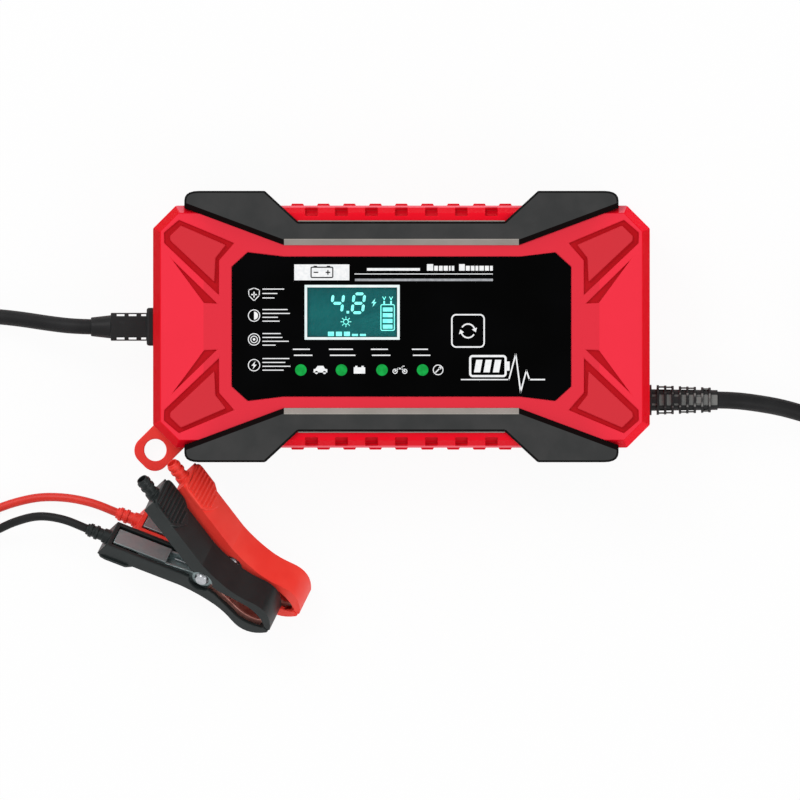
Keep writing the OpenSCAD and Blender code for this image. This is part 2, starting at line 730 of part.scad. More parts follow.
// Relief of thin rings around a core, which tapers towards the cord. Bars tie each ring to the next one, on
// the two sides for two gaps, and then above and below for one.
function ring_r(i) = 5.35 - 0.12 * i;
module mains_strain_relief() color(BLACK) {
    translate([half_l, -mains_y, exit_z]) rotate([0, 90, 0]) difference() {
        union() {
            translate([0, 0, -wall - 2]) cylinder(r = neck_r, h = wall + 2 + eps, $fn = fine);
            translate([0, 0, -wall - 2]) cylinder(r = mains_flange_r, h = 1.8, $fn = fine);
            cylinder(r1 = 3.8, r2 = mains_d / 2 + 0.5, h = relief_l, $fn = fine);
            for (i = [0 : relief_rings - 1]) translate([0, 0, i * relief_pitch])
                cylinder(r = ring_r(i), h = relief_ring, $fn = fine);
            for (i = [0 : relief_rings - 2]) for (turn = [0, 180]) translate([0, 0, i * relief_pitch])
                rotate([0, 0, turn + (i % 3 == 0 ? 90 : 0)])
                    translate([-1.2, ring_r(i) - 0.95, relief_ring / 2])
                    cube([2.4, 0.6, relief_pitch]);
        }
        translate([0, 0, relief_l - 8]) cylinder(r = mains_d / 2, h = 9, $fn = fine);
    }
}

// Flat relief with a square flange and a window in each half.
relief_w = 9.8;
relief_h = 8.4;
flange_w = 13.3;
slot_w = 0.7;
relief_slots = [[2.6, 1.8], [6, 2.8], [10.2, 2.8]];
module output_strain_relief() color(BLACK) {
    translate([-half_l, 0, exit_z]) rotate([0, -90, 0]) difference() {
        union() {
            translate([0, 0, -wall - 2]) cylinder(r = neck_r, h = wall + 2 + eps, $fn = fine);
            translate([0, 0, -wall - 2]) cylinder(r = mains_flange_r, h = 1.8, $fn = fine);
            linear_extrude(flange_t) rounded(flange_w - 1.4, flange_w, 1.5);
            linear_extrude(15) rounded(relief_h, relief_w, 1.2);
            translate([0, 0, 14]) cylinder(r1 = 4.2, r2 = output_d / 2 + 0.6, h = relief_l - 16, $fn = fine);
        }
        for (slot = relief_slots) for (y = [-1, 1])
            translate([-relief_h, y * (relief_w / 2 - 0.8) - slot_w / 2, slot[0]])
                cube([2 * relief_h, slot_w, slot[1]]);
        translate([0, 0, relief_l - 10]) cylinder(r = output_d / 2, h = 9, $fn = fine);
    }
}

// ---------------------------------------------------------------- mains cord and plug

coil_lift = 1;
join = 4;
mains_exit_x = half_l + relief_l;
mains_coil_at = [192, 2];
mains_coil_r = 42;
mains_coil_pitch = 6.9;
mains_turns = 5;
mains_low = coil_lift + mains_d / 2;
mains_high = mains_low + mains_d + layer_gap;
mains_side = mains_coil_at[1] - mains_coil_r;
mains_route = [
    [mains_exit_x - 7.5, -mains_y, exit_z], [mains_exit_x, -mains_y, exit_z],
    [118, -26, 20.2], [126, -27, 17],
    [134, -28.5, 12.5], [143, -31, 8], [153, -34, 5.2], [163, -37, 4.2], [173, -39.2, 4],
    [mains_coil_at[0] - mains_d - join, mains_side, mains_low],
    [mains_coil_at[0] - mains_d, mains_side, mains_low]
];
plug_z = 7;
plug_x = 236;
mains_tail = [
    [mains_coil_at[0] + mains_d, mains_side, mains_high],
    [mains_coil_at[0] + mains_d + join, mains_side, mains_high],
    [211, mains_side, 9.2], [plug_x - 15, mains_side, plug_z], [plug_x - 11.5, mains_side, plug_z],
    [plug_x, mains_side, plug_z]
];
cord_step = 13;

module mains_cord() color(BLACK) {
    tube(smooth(mains_route, cord_step), mains_d, 12);
    tube(smooth(mains_tail, cord_step), mains_d, 12);
}

mains_coil = coil_path(mains_coil_at, -90, mains_turns, mains_coil_r, mains_coil_pitch, mains_d, coil_lift);
module mains_cord_coil() color(BLACK) {
    tube(mains_coil, mains_d, 6);
}
echo(mains_coil_least_gap = least_gap(mains_coil, mains_d, 12));

// Band that holds a coil's bundle together, on the side away from the coil's ends.
tie_t = 0.8;
tie_w = 9;
tie_gap = 0.35;
tie_base = 0.2;
module tie(at, from, passed, turns, r, pitch, d) {
    radii = [for (k = [0 : turns - passed]) coil_radius(k + passed, turns, r, pitch)];
    inner = sqrt(pow(min(radii) - d / 2, 2) - pow(tie_w / 2, 2)) - tie_gap;
    outer = max(radii) + d / 2 + tie_gap;
    height = 2 * d + layer_gap + 2 * tie_base;
    translate([at[0], at[1], coil_lift - tie_base]) rotate([0, 0, from + 360 * passed]) rotate([90, 0, 0])
        translate([0, 0, -tie_w / 2]) linear_extrude(tie_w) difference() {
            translate([inner - tie_t, -tie_t]) square([outer - inner + 2 * tie_t, height + 2 * tie_t]);
            translate([inner, 0]) square([outer - inner, height]);
        }
}

module mains_cord_tie() color(BLACK) {
    tie(mains_coil_at, -90, 0.5, mains_turns, mains_coil_r, mains_coil_pitch, mains_d);
}

// Flat two-pin plug.
plug_w = 30;
plug_h = 13.6;
plug_l = 28;
pin_pitch = 18.6;
plug_pin_r = 2;
plug_pin_l = 19;
module mains_plug_body() color(BLACK) {
    translate([plug_x, mains_side, plug_z]) rotate([90, 0, 90]) difference() {
        union() {
            translate([0, 0, 12]) linear_extrude(plug_l - 12) rounded(plug_w, plug_h, 5);
            hull() {
                translate([0, 0, 12]) linear_extrude(0.1) rounded(plug_w, plug_h, 5);
                linear_extrude(0.1) rounded(11, 10.4, 5);
            }
            translate([0, 0, -10]) cylinder(r1 = mains_d / 2 + 0.5, r2 = 5, h = 10 + eps, $fn = 32);
        }
        translate([0, 0, -11]) cylinder(r = mains_d / 2, h = 11, $fn = 32);
    }
}

module mains_plug_pins() color(METAL) {
    for (y = [-1, 1])
        translate([plug_x + plug_l, mains_side + y * pin_pitch / 2, plug_z]) rotate([0, 90, 0]) {
        cylinder(r = plug_pin_r, h = plug_pin_l - 1, $fn = fine);
        translate([0, 0, plug_pin_l - 1]) cylinder(r1 = plug_pin_r, r2 = plug_pin_r - 1, h = 1, $fn = fine);
    }
}

// ---------------------------------------------------------------- output cord and leads

output_exit_x = -half_l - relief_l + 2;
output_coil_at = [-220, -36];
output_coil_r = 36;
output_coil_pitch = 6.2;
output_turns = 3.5;
output_low = coil_lift + output_d / 2;
output_high = output_low + output_d + layer_gap;
output_top = output_coil_at[1] + output_coil_r;
output_bottom = output_coil_at[1] - output_coil_r;
output_route = [
    [output_exit_x + 7.5, 0, exit_z], [output_exit_x, 0, exit_z], [-117, 0.4, 20], [-125, 1.4, 16.6],
    [-133, 2.6, 12], [-142, 3.6, 7.6], [-152, 4, 4.8], [-164, 3.6, 3.8], [-178, 2.4, 3.6], [-194, 0.9, 3.6],
    [-204, 0.1, 3.7], [output_coil_at[0] + output_d + join, output_top, output_low],
    [output_coil_at[0] + output_d, output_top, output_low]
];
boot_x = -184;
boot_z = 3.6;
output_tail = [
    [output_coil_at[0] + output_d, output_bottom, output_high],
    [output_coil_at[0] + output_d + join, output_bottom, output_high], [-203, output_bottom, 7.6],
    [-196, output_bottom, 4.6], [boot_x - 4, output_bottom, boot_z], [boot_x - 1, output_bottom, boot_z],
    [boot_x + 3.9, output_bottom, boot_z]
];

module output_cord() color(BLACK) {
    tube(smooth(output_route, cord_step), output_d, 12);
    tube(smooth(output_tail, cord_step), output_d, 12);
}

output_coil = coil_path(
    output_coil_at, 90, output_turns, output_coil_r, output_coil_pitch, output_d, coil_lift);
module output_cord_coil() color(BLACK) {
    tube(output_coil, output_d, 6);
}
echo(output_coil_least_gap = least_gap(output_coil, output_d, 12));

module output_cord_tie() color(BLACK) {
    tie(output_coil_at, 90, 0.25, output_turns, output_coil_r, output_coil_pitch, output_d);
}

// Moulded boot in which the output cord splits into its two leads.
boot_l = 20;
lead_y = 2.3;
module split_boot() color(BLACK) {
    translate([boot_x, output_bottom, boot_z]) rotate([90, 0, 90]) difference() {
        hull() {
            cylinder(r = output_d / 2 + 0.7, h = 8, $fn = 32);
            for (y = [-1, 1]) translate([y * lead_y, 0, boot_l - 8])
                cylinder(r = lead_d / 2 + 1, h = 8, $fn = 32);
        }
        translate([0, 0, -1]) cylinder(r = output_d / 2, h = 5, $fn = 32);
        for (y = [-1, 1]) translate([y * lead_y, 0, boot_l - 3]) cylinder(r = lead_d / 2, h = 5, $fn = 32);
    }
}

lead_x = boot_x + boot_l;
lead_step = 8;
red_route = [
    [lead_x - 3, output_bottom + lead_y, boot_z], [lead_x + 3, output_bottom + lead_y, boot_z],
    [-153, -68.2, 2.6], [-145, -65, 2], [-136, -61.8, 2], [-127, -60, 2.6], [-117.5, -60.2, 4.6]
];
black_route = [
    [lead_x - 3, output_bottom - lead_y, boot_z], [lead_x + 3, output_bottom - lead_y, boot_z],
    [-153, -75, 2.6], [-145, -72.6, 4.6], [-136, -68.6, 9], [-127.5, -66.6, 13.4]
];

module red_lead() color([1, 0.3, 0.25]) {
    tube(smooth(concat(red_route, lead_end(red_place)), lead_step), lead_d, 8);
}

module black_lead() color(BLACK) {
    tube(smooth(concat(black_route, lead_end(black_place)), lead_step), lead_d, 8);
}

// ---------------------------------------------------------------- battery clamps

// A clamp's own frame: the origin in the middle of its pivot, +X to the jaws, +Z to the upper lever.
// Each place holds the pivot's position, the heading, the pitch and the roll.
red_place = [[-58.2, -79.8, 13.8], -36, 11, -42];
black_place = [[-68.6, -85.4, 23.4], -36, 11, -42];
module place(p) {
    translate(p[0]) rotate([0, 0, p[1]]) rotate([0, p[2], 0]) rotate([p[3], 0, 0]) children();
}

// The same turn and move, for a point.
function turned(p, v) = let (
    y1 = v[1] * cos(p[3]) - v[2] * sin(p[3]), z1 = v[1] * sin(p[3]) + v[2] * cos(p[3]),
    x2 = v[0] * cos(p[2]) + z1 * sin(p[2]), z2 = -v[0] * sin(p[2]) + z1 * cos(p[2]))
    [x2 * cos(p[1]) - y1 * sin(p[1]), x2 * sin(p[1]) + y1 * cos(p[1]), z2];
function placed(p, v) = p[0] + turned(p, v);

// The handle's upper edge runs straight from its end to its root, so its slope follows.
grip_end = [-33, 19.8];
grip_root = [-4, 7.8];
grip_deep = 6.6;
grip_slope = atan2(grip_end[1] - grip_root[1], grip_root[0] - grip_end[0]);
boot_out = 8;
lead_in = 18;
boot_mid = grip_end - [0, grip_deep / 2 + 0.3];
boot_dir = [-cos(grip_slope), 0, -sin(grip_slope)];
boot_tip = [boot_mid[0], 0, -boot_mid[1]] + boot_out * boot_dir;
function lead_end(p) = [
    for (k = [9, 0, -lead_in / 2, -lead_in]) placed(p, boot_tip + k * boot_dir)];

tip_x = 30;
tip_l = 2.2;
jaw_gap = 0.15;
grip_top = 1.8;
function upper_edge(drop) = [for (p = concat(
    [grip_end], bend(grip_root, [3, 5.6], [10, 5.4], 6), bend([10, 5.4], [14, 5.4], [18, 6.8], 4),
    bend([18, 6.8], [25.5, 9.4], [tip_x, 1.2], 8))) p - [0, drop]];
cavity_end = tip_x - 2.9;
jaw_tail = grip_end[0] + 11;
ear_r = 3.6;
wall_cut_r = 4.4;

// Space under a cover's top wall, from near the handle's end to near the tip.
module channel(drop, end_x, back_x) {
    intersection() {
        polygon(concat(upper_edge(drop), [[tip_x, -6], [grip_end[0], -6]]));
        translate([back_x, -5]) square([end_x - back_x, 40]);
    }
}

// Plastic cover of one lever, open below, with a ribbed pad and the boot at its end.
module grip() {
    difference() {
        sleeve();
        translate([boot_mid[0], 0, boot_mid[1]]) rotate([0, grip_slope - 90, 0]) translate([0, 0, -3.2])
            cylinder(r = lead_d / 2, h = boot_out + 4, $fn = 32);
    }
}

module sleeve() {
    difference() {
        rotate([90, 0, 0]) linear_extrude(clamp_w, center = true) polygon(concat(
            upper_edge(0), [[tip_x, jaw_gap], [tip_x - tip_l, jaw_gap]],
            bend([27.4, 1], [22, 4.8], [16, 3.4], 5),
            [[11, 2.3], [7, 1.35], [-3, 1.35], [-6, 2.3], [-13, 5.2], grip_end - [0, grip_deep]]));
        rotate([90, 0, 0]) linear_extrude(clamp_w - 2 * grip_wall, center = true)
            channel(grip_top, cavity_end, grip_end[0] + 1.5);
        rotate([90, 0, 0]) cylinder(r = wall_cut_r, h = 2 * clamp_w, center = true, $fn = fine);
    }
    translate([grip_end[0], 0, grip_end[1]]) rotate([0, grip_slope, 0]) pad();
    translate([boot_mid[0], 0, boot_mid[1]]) rotate([0, grip_slope - 90, 0]) boot();
}

// Thumb pad with a pointed front end and cross ribs.
pad_l = 17;
pad_t = 1.1;
pad_w = clamp_w + 1.4;
rib_count = 8;
rib_r = 0.5;
module pad() {
    half = pad_w / 2;
    translate([0, 0, -eps]) linear_extrude(pad_t) polygon(concat(
        bend([0, -half + 2.6], [0.2, -half + 0.2], [3, -half], 4),
        bend([11, -half], [14, -half + 1.2], [pad_l, 0], 3),
        bend([pad_l, 0], [14, half - 1.2], [11, half], 3),
        bend([3, half], [0.2, half - 0.2], [0, half - 2.6], 4)));
    for (i = [0 : rib_count - 1]) translate([1.6 + i * 1.75, 0, pad_t - 0.05]) rotate([90, 0, 0])
        cylinder(r = rib_r, h = pad_w - 1.6 - max(0, i - 5) * 3, center = true, $fn = 16);
}

// Ringed boot that a lead leaves through.
boot_r = 2.2;
module boot() {
    translate([0, 0, -1.2]) cylinder(r = boot_r + 0.4, h = 3, $fn = fine);
    cylinder(r1 = boot_r, r2 = lead_d / 2 + 0.5, h = boot_out, $fn = fine);
    for (i = [0, 1]) translate([0, 0, 3.6 + i * 2.2])
        cylinder(r = boot_r + 0.35 - i * 0.1, h = 1.2, $fn = fine);
}

// Sheet metal lever: two ears around the pin, a web that runs under the cover to the jaw, and a tail plate
// that closes the handle over the lead.
plate_x = [1.8, 20];
plate_drop = 5.4;
plate_t = 0.85;
module jaw(width) {
    rotate([90, 0, 0]) linear_extrude(width, center = true) translate(grip_end) polygon([
        for (drop = [plate_drop, plate_drop + plate_t])
            for (x = drop == plate_drop ? plate_x : [plate_x[1], plate_x[0]])
            [x, -x * tan(grip_slope) - drop]]);
    difference() {
        union() {
            rotate([90, 0, 0]) cylinder(r = ear_r, h = width, center = true, $fn = fine);
            rotate([90, 0, 0]) linear_extrude(width, center = true) intersection() {
                channel(grip_top, cavity_end, jaw_tail);
                polygon(concat([[cavity_end + 1, jaw_gap], [cavity_end - 1, jaw_gap], [cavity_end - 1.6, 1]],
                    bend([cavity_end - 2.4, 1.6], [20.5, 3.8], [16, 2.6], 4),
                    [[11, 1.5], [5, 0.4], [-2, 0.4], [-12, 5.6], [grip_end[0], 15], [grip_end[0], 40],
                    [40, 40], [40, jaw_gap]]));
            }
        }
        rotate([90, 0, 0]) linear_extrude(width - 2 * jaw_t, center = true)
            channel(grip_top + jaw_t, cavity_end - jaw_t, grip_end[0]);
        rotate([90, 0, 0]) cylinder(r = pin_r + pin_gap, h = 2 * width, center = true, $fn = fine);
    }
}
pin_gap = 0.05;
upper_jaw_w = clamp_w - 2 * grip_wall - 0.4;
lower_jaw_w = upper_jaw_w - 2 * jaw_t - 0.4;

module pivot_pin() {
    rotate([90, 0, 0]) {
        cylinder(r = pin_r, h = upper_jaw_w + 0.4, center = true, $fn = fine);
        for (s = [0, 1]) mirror([0, 0, s]) translate([0, 0, upper_jaw_w / 2 + 0.1])
            cylinder(r1 = pin_r + 1.1, r2 = pin_r + 0.5, h = 0.9, $fn = fine);
    }
}

// Torsion spring around the pin. Its legs leave the coil at the angle spring_from above and below the
// pivot's level and lie along the two levers.
spring_r = pin_r + 1.1;
spring_from = 67;
spring_coils = 2;
spring_steps = 20;
spring_half = lower_jaw_w / 2 - jaw_t - spring_wire_r - 0.15;
spring_leg = 12;
spring_path = let (
    sweep = 2 * spring_from + 360 * spring_coils, leg = spring_leg * [-sin(spring_from), 0, cos(spring_from)],
    first = [spring_r * cos(spring_from), -spring_half, spring_r * sin(spring_from)],
    last = [first[0], spring_half, -first[2]])
    concat([first + leg], [for (i = [0 : spring_steps]) let (a = spring_from - sweep * i / spring_steps)
        [spring_r * cos(a), spring_half * (2 * i / spring_steps - 1), spring_r * sin(a)]],
        [last + [leg[0], 0, -leg[2]]]);
function spring_ring(c, t, r) = let (s = unit(cross([0, 1, 0], t)), u = cross(t, s))
    [for (k = [0 : 5]) c + r * (cos(60 * k) * s + sin(60 * k) * u)];
module clamp_spring() {
    rows = len(spring_path);
    rings = [for (i = [0 : rows - 1])
        each spring_ring(spring_path[i], tangent(spring_path, i), spring_wire_r)];
    walls = [for (i = [0 : rows - 2]) for (k = [0 : 5]) let (a = i * 6 + k, b = i * 6 + (k + 1) % 6)
        each [[a, a + 6, b], [b, a + 6, b + 6]]];
    base = (rows - 1) * 6;
    caps = [for (k = [1 : 4]) each [[0, k, k + 1], [base, base + k + 1, base + k]]];
    polyhedron(rings, concat(walls, caps), convexity = 10);
}

module red_upper_grip() color([1, 0.29, 0.25]) place(red_place) grip();
module red_lower_grip() color([1, 0.29, 0.25]) place(red_place) mirror([0, 0, 1]) grip();
module red_upper_jaw() color(COPPER) place(red_place) jaw(upper_jaw_w);
module red_lower_jaw() color(COPPER) place(red_place) mirror([0, 0, 1]) jaw(lower_jaw_w);
module red_pivot_pin() color(METAL) place(red_place) pivot_pin();
module red_spring() color(METAL) place(red_place) clamp_spring();
module black_upper_grip() color(DARK) place(black_place) grip();
module black_lower_grip() color(DARK) place(black_place) mirror([0, 0, 1]) grip();
module black_upper_jaw() color(COPPER) place(black_place) jaw(upper_jaw_w);
module black_lower_jaw() color(COPPER) place(black_place) mirror([0, 0, 1]) jaw(lower_jaw_w);
module black_pivot_pin() color(METAL) place(black_place) pivot_pin();
module black_spring() color(METAL) place(black_place) clamp_spring();
echo(red_pivot = red_place[0], red_axis = turned(red_place, [0, 1, 0]));
echo(black_pivot = black_place[0], black_axis = turned(black_place, [0, 1, 0]));
echo(red_boot = placed(red_place, boot_tip), black_boot = placed(black_place, boot_tip));

// ---------------------------------------------------------------- drawing

rear_shell();
front_shell();
upper_bumper();
lower_bumper();
upper_trim_strip();
lower_trim_strip();
front_panel();
lcd_bezel();
lcd_glass();
lcd_module();
led_lenses();
status_leds();
mode_button();
tact_switch();
display_board();
display_screws();
board_link();
main_board();
board_screws();
transformer_core();
transformer_winding();
filter_capacitors();
line_choke();
heat_sinks();
power_transistors();
bridge_rectifier();
fuse();
output_relay();
housing_screws();
hanging_ear();
mains_strain_relief();
mains_cord();
mains_cord_coil();
mains_cord_tie();
mains_plug_body();
mains_plug_pins();
output_strain_relief();
output_cord();
output_cord_coil();
output_cord_tie();
split_boot();
red_lead();
black_lead();
red_lower_grip();
red_lower_jaw();
red_upper_grip();
red_upper_jaw();
red_pivot_pin();
red_spring();
black_lower_grip();
black_lower_jaw();
black_upper_grip();
black_upper_jaw();
black_pivot_pin();
black_spring();
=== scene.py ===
# Car battery charger on its back, with its coiled mains cord and its two battery clamps.
import math

import bmesh
import bpy
from mathutils import Matrix, Vector


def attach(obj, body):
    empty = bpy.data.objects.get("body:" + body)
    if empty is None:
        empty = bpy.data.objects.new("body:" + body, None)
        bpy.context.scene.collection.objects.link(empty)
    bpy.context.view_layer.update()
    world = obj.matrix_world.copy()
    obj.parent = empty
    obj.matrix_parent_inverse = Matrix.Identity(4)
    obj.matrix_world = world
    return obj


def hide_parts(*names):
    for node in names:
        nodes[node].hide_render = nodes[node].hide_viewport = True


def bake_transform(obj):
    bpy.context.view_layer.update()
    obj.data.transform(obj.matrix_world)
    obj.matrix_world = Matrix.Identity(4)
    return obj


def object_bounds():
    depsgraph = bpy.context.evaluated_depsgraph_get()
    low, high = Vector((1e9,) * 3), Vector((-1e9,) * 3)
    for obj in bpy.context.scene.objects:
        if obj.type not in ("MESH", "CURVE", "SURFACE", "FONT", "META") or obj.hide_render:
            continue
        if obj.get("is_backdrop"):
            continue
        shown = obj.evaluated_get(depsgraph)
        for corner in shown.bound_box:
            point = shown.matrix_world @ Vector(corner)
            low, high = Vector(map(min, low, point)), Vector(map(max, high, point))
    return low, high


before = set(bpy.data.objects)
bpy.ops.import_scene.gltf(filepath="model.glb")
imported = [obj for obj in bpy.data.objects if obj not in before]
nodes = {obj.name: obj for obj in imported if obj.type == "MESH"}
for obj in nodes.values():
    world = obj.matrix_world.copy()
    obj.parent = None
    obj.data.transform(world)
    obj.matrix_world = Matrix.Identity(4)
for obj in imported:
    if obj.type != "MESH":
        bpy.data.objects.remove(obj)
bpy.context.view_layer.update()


# ---- Camera
# It looks straight down at the panel from far away, so that the housing's sides hardly show. The panel's
# plane is 280 mm wide in its view.
MM = 0.001
camera_height, seen_width = 7.0, 0.28
camera_data = bpy.data.cameras.new("camera")
camera_data.sensor_width = 36
camera_data.lens = 36 * camera_height / seen_width
camera_data.clip_start, camera_data.clip_end = 0.1, 20
camera = bpy.data.objects.new("camera", camera_data)
camera.location = (-0.5 * MM, -25.7 * MM, 43 * MM + camera_height)
bpy.context.scene.collection.objects.link(camera)
bpy.context.scene.camera = camera
bpy.context.scene.view_settings.view_transform = "Standard"


# ---- Cords
# Round rubber cords. Each lies in loose curves, and what isn't in use is wound into a flat coil of two
# layers, so its path is that of the CAD solid: listed points, then the coil's formula, then the tail.
class Wire:
    """One socket of a node tree. Python's own signs on wires add the nodes that do the sum."""

    def __init__(self, owner, socket):
        self.owner, self.socket = owner, socket

    def sum(self, operation, *values):
        return self.owner.add("ShaderNodeMath", {"operation": operation}, dict(enumerate(values)))

    def __add__(self, other):
        return self.sum("ADD", self, other)

    def __sub__(self, other):
        return self.sum("SUBTRACT", self, other)

    def __rsub__(self, other):
        return self.sum("SUBTRACT", other, self)

    def __mul__(self, other):
        return self.sum("MULTIPLY", self, other)

    def __gt__(self, other):
        return self.sum("GREATER_THAN", self, other)

    def __abs__(self):
        return self.sum("ABSOLUTE", self)

    __radd__, __rmul__ = __add__, __mul__


class Nodes:
    """A tree of shader nodes."""

    def __init__(self, tree):
        self.tree = tree

    def add(self, kind, settings, values, out=0):
        """Any node: its type, its settings, the values or wires of its sockets, and the output wanted."""
        node = self.tree.nodes.new(kind)
        for key, value in settings.items():
            setattr(node, key, value)
        for key, value in values.items():
            self.plug(node.inputs[key], value)
        return Wire(self, node.outputs[out])

    def plug(self, socket, value):
        if isinstance(value, Wire):
            self.tree.links.new(value.socket, socket)
        else:
            socket.default_value = value


class Finish(Nodes):
    """A material, and the few kinds of nodes that this object's finishes need."""

    def __init__(self, name, **sockets):
        self.material = bpy.data.materials.new(name)
        self.material.use_nodes = True
        super().__init__(self.material.node_tree)
        self.shader = self.tree.nodes["Principled BSDF"]
        self.set(**sockets)

    def set(self, **sockets):
        for key, value in sockets.items():
            self.plug(self.shader.inputs[key.replace("_", " ")], value)

    def place(self):
        return self.add("ShaderNodeTexCoord", {}, {}, "Object")

    def parts(self, vector):
        split = self.add("ShaderNodeSeparateXYZ", {}, {"Vector": vector})
        return [Wire(self, socket) for socket in split.socket.node.outputs]

    def axes(self):
        return self.parts(self.place())

    def facing(self):
        return self.parts(self.add("ShaderNodeNewGeometry", {}, {}, "Normal"))

    def noise(self, size, detail, stretch=(1, 1, 1)):
        where = self.add("ShaderNodeMapping", {}, {"Vector": self.place(), "Scale": stretch})
        return self.add("ShaderNodeTexNoise", {}, {"Vector": where, "Scale": 1 / size, "Detail": detail})

    def ease(self, value, low, high):
        """0 up to low, 1 from high on, and smooth between them."""
        return self.add(
            "ShaderNodeMapRange", {"interpolation_type": "SMOOTHSTEP"},
            {"Value": value, "From Min": low, "From Max": high, "To Min": 0.0, "To Max": 1.0})

    def past(self, value, edge, fade=0.3):
        """0 up to an edge and 1 past it, with a fade of that width, both in millimetres."""
        return self.ease(value, edge * MM, (edge + fade) * MM)

    def blend(self, mask, first, second):
        """A mix of two colours, which go into the Mix node's sockets 6 and 7 and come out at 2."""
        mixed = self.add("ShaderNodeMix", {"data_type": "RGBA"}, {"Factor": mask}, 2)
        self.plug(mixed.socket.node.inputs[6], first)
        self.plug(mixed.socket.node.inputs[7], second)
        return mixed

    def cloudy(self, size, detail, first, second):
        """Two near shades in soft patches."""
        return self.blend(self.ease(self.noise(size, detail), 0.3, 0.7), first, second)

    def bump(self, height, depth):
        raised = self.add("ShaderNodeBump", {}, {"Height": height, "Distance": depth, "Strength": 1.0})
        self.set(Normal=raised)


def paint(red, green, blue):
    """A colour given as it looks on a screen, from 0 to 255, as Blender's linear one."""
    lin = [c / 255 / 12.92 if c <= 10 else ((c / 255 + 0.055) / 1.055) ** 2.4 for c in (red, green, blue)]
    return (*lin, 1.0)


def moulded(name, colour, dark, roughness, grain=0.35 * MM, depth=0.02 * MM, specular=0.5, wear=None):
    """Moulded plastic: a fine spark-eroded grain, cloudy colour and gloss, and paler rubbed places."""
    finish = Finish(name, Specular_IOR_Level=specular)
    cloud, fine = finish.noise(14 * MM, 3), finish.noise(grain, 1)
    tone = finish.blend(finish.ease(cloud, 0.3, 0.7), dark, colour)
    if wear:
        rubbed = finish.ease(finish.noise(5 * MM, 5), 0.66, 0.8) * 0.35
        tone = finish.blend(rubbed, tone, wear)
    finish.set(Base_Color=tone, Roughness=roughness + 0.08 * (cloud - 0.5) + 0.1 * (fine - 0.5))
    finish.bump(fine, depth)
    return finish


def put(name, mesh, finish, body="charger", replaces=()):
    """Makes a mesh or a curve a piece of the object that moves with a body."""
    piece = bpy.data.objects.new(name, mesh)
    bpy.context.scene.collection.objects.link(piece)
    mesh.materials.clear()
    mesh.materials.append(finish.material)
    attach(piece, body)
    if replaces:
        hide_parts(*replaces)
    return piece


def between(points, i, t):
    """A place on the smooth curve from one point to the next, which also heeds the points around them."""
    a, b, c, d = (points[min(max(i + k, 0), len(points) - 1)] for k in (-1, 0, 1, 2))
    return tuple(
        0.5 * (2 * b[k] + (c[k] - a[k]) * t + (2 * a[k] - 5 * b[k] + 4 * c[k] - d[k]) * t * t
               + (3 * b[k] - a[k] - 3 * c[k] + d[k]) * t ** 3) for k in range(3))


def smooth(points, step):
    """The smooth curve through the points, as places about a step apart."""
    path = []
    for i in range(len(points) - 1):
        count = max(1, round(math.dist(points[i], points[i + 1]) / step))
        path += [between(points, i, k / count) for k in range(count)]
    return path + [points[-1]]


def coil(middle, start, turns, radius, pitch, thick, lift=1.0, layer_gap=0.7, per_turn=48):
    """A flat coil: inwards in the lower layer, up, and outwards in the upper one."""
    path = []
    for i in range(int(turns * per_turn) + 1):
        t = i / per_turn
        reach = radius - pitch * min(t, turns - t)
        up = min(1, max(0, 2 * (t - turns / 2) + 0.5))
        angle = math.radians(start + 360 * t)
        path.append((
            middle[0] + reach * math.cos(angle), middle[1] + reach * math.sin(angle),
            lift + thick / 2 + (thick + layer_gap) * up * up * (3 - 2 * up)))
    return path


def cord_curve(name, path, thick, sides=6):
    """A round cord along a path in millimetres."""
    curve = bpy.data.curves.new(name, "CURVE")
    curve.dimensions = "3D"
    curve.bevel_depth = thick / 2 * MM
    curve.bevel_resolution = sides
    curve.use_fill_caps = True
    spline = curve.splines.new("POLY")
    spline.points.add(len(path) - 1)
    for point, place in zip(spline.points, path):
        point.co = (*(v * MM for v in place), 1)
    spline.use_smooth = True
    return curve


def length_of(path):
    """A path's length in metres."""
    return sum(math.dist(a, b) for a, b in zip(path, path[1:])) * MM


cord_black = moulded(
    "cord_rubber", paint(34, 34, 35), paint(24, 24, 25), 0.5, 0.5 * MM, 0.03 * MM, 0.2, paint(58, 58, 58))
lead_red = moulded("lead_rubber", paint(245, 60, 40), paint(226, 46, 34), 0.42, 0.5 * MM, 0.02 * MM, 0.4)

mains_thick, mains_middle, mains_radius, mains_turns = 6.0, (192, 2), 42, 5
mains_side = mains_middle[1] - mains_radius
mains_path = smooth([
    (103.5, -25.7, 21), (111, -25.7, 21), (118, -26, 20.2), (126, -27, 17), (134, -28.5, 12.5), (143, -31, 8),
    (153, -34, 5.2), (163, -37, 4.2), (173, -39.2, 4), (182, mains_side, 4), (186, mains_side, 4)], 3)
mains_path += coil(mains_middle, -90, mains_turns, mains_radius, 6.9, mains_thick)
mains_path += smooth([
    (198, mains_side, 10.7), (202, mains_side, 10.7), (211, mains_side, 9.2), (221, mains_side, 7),
    (224.5, mains_side, 7), (236, mains_side, 7)], 3)
mains_cord = put(
    "mains_cable", cord_curve("mains_cable", mains_path, mains_thick), cord_black,
    replaces=["mains_cord", "mains_cord_coil"])

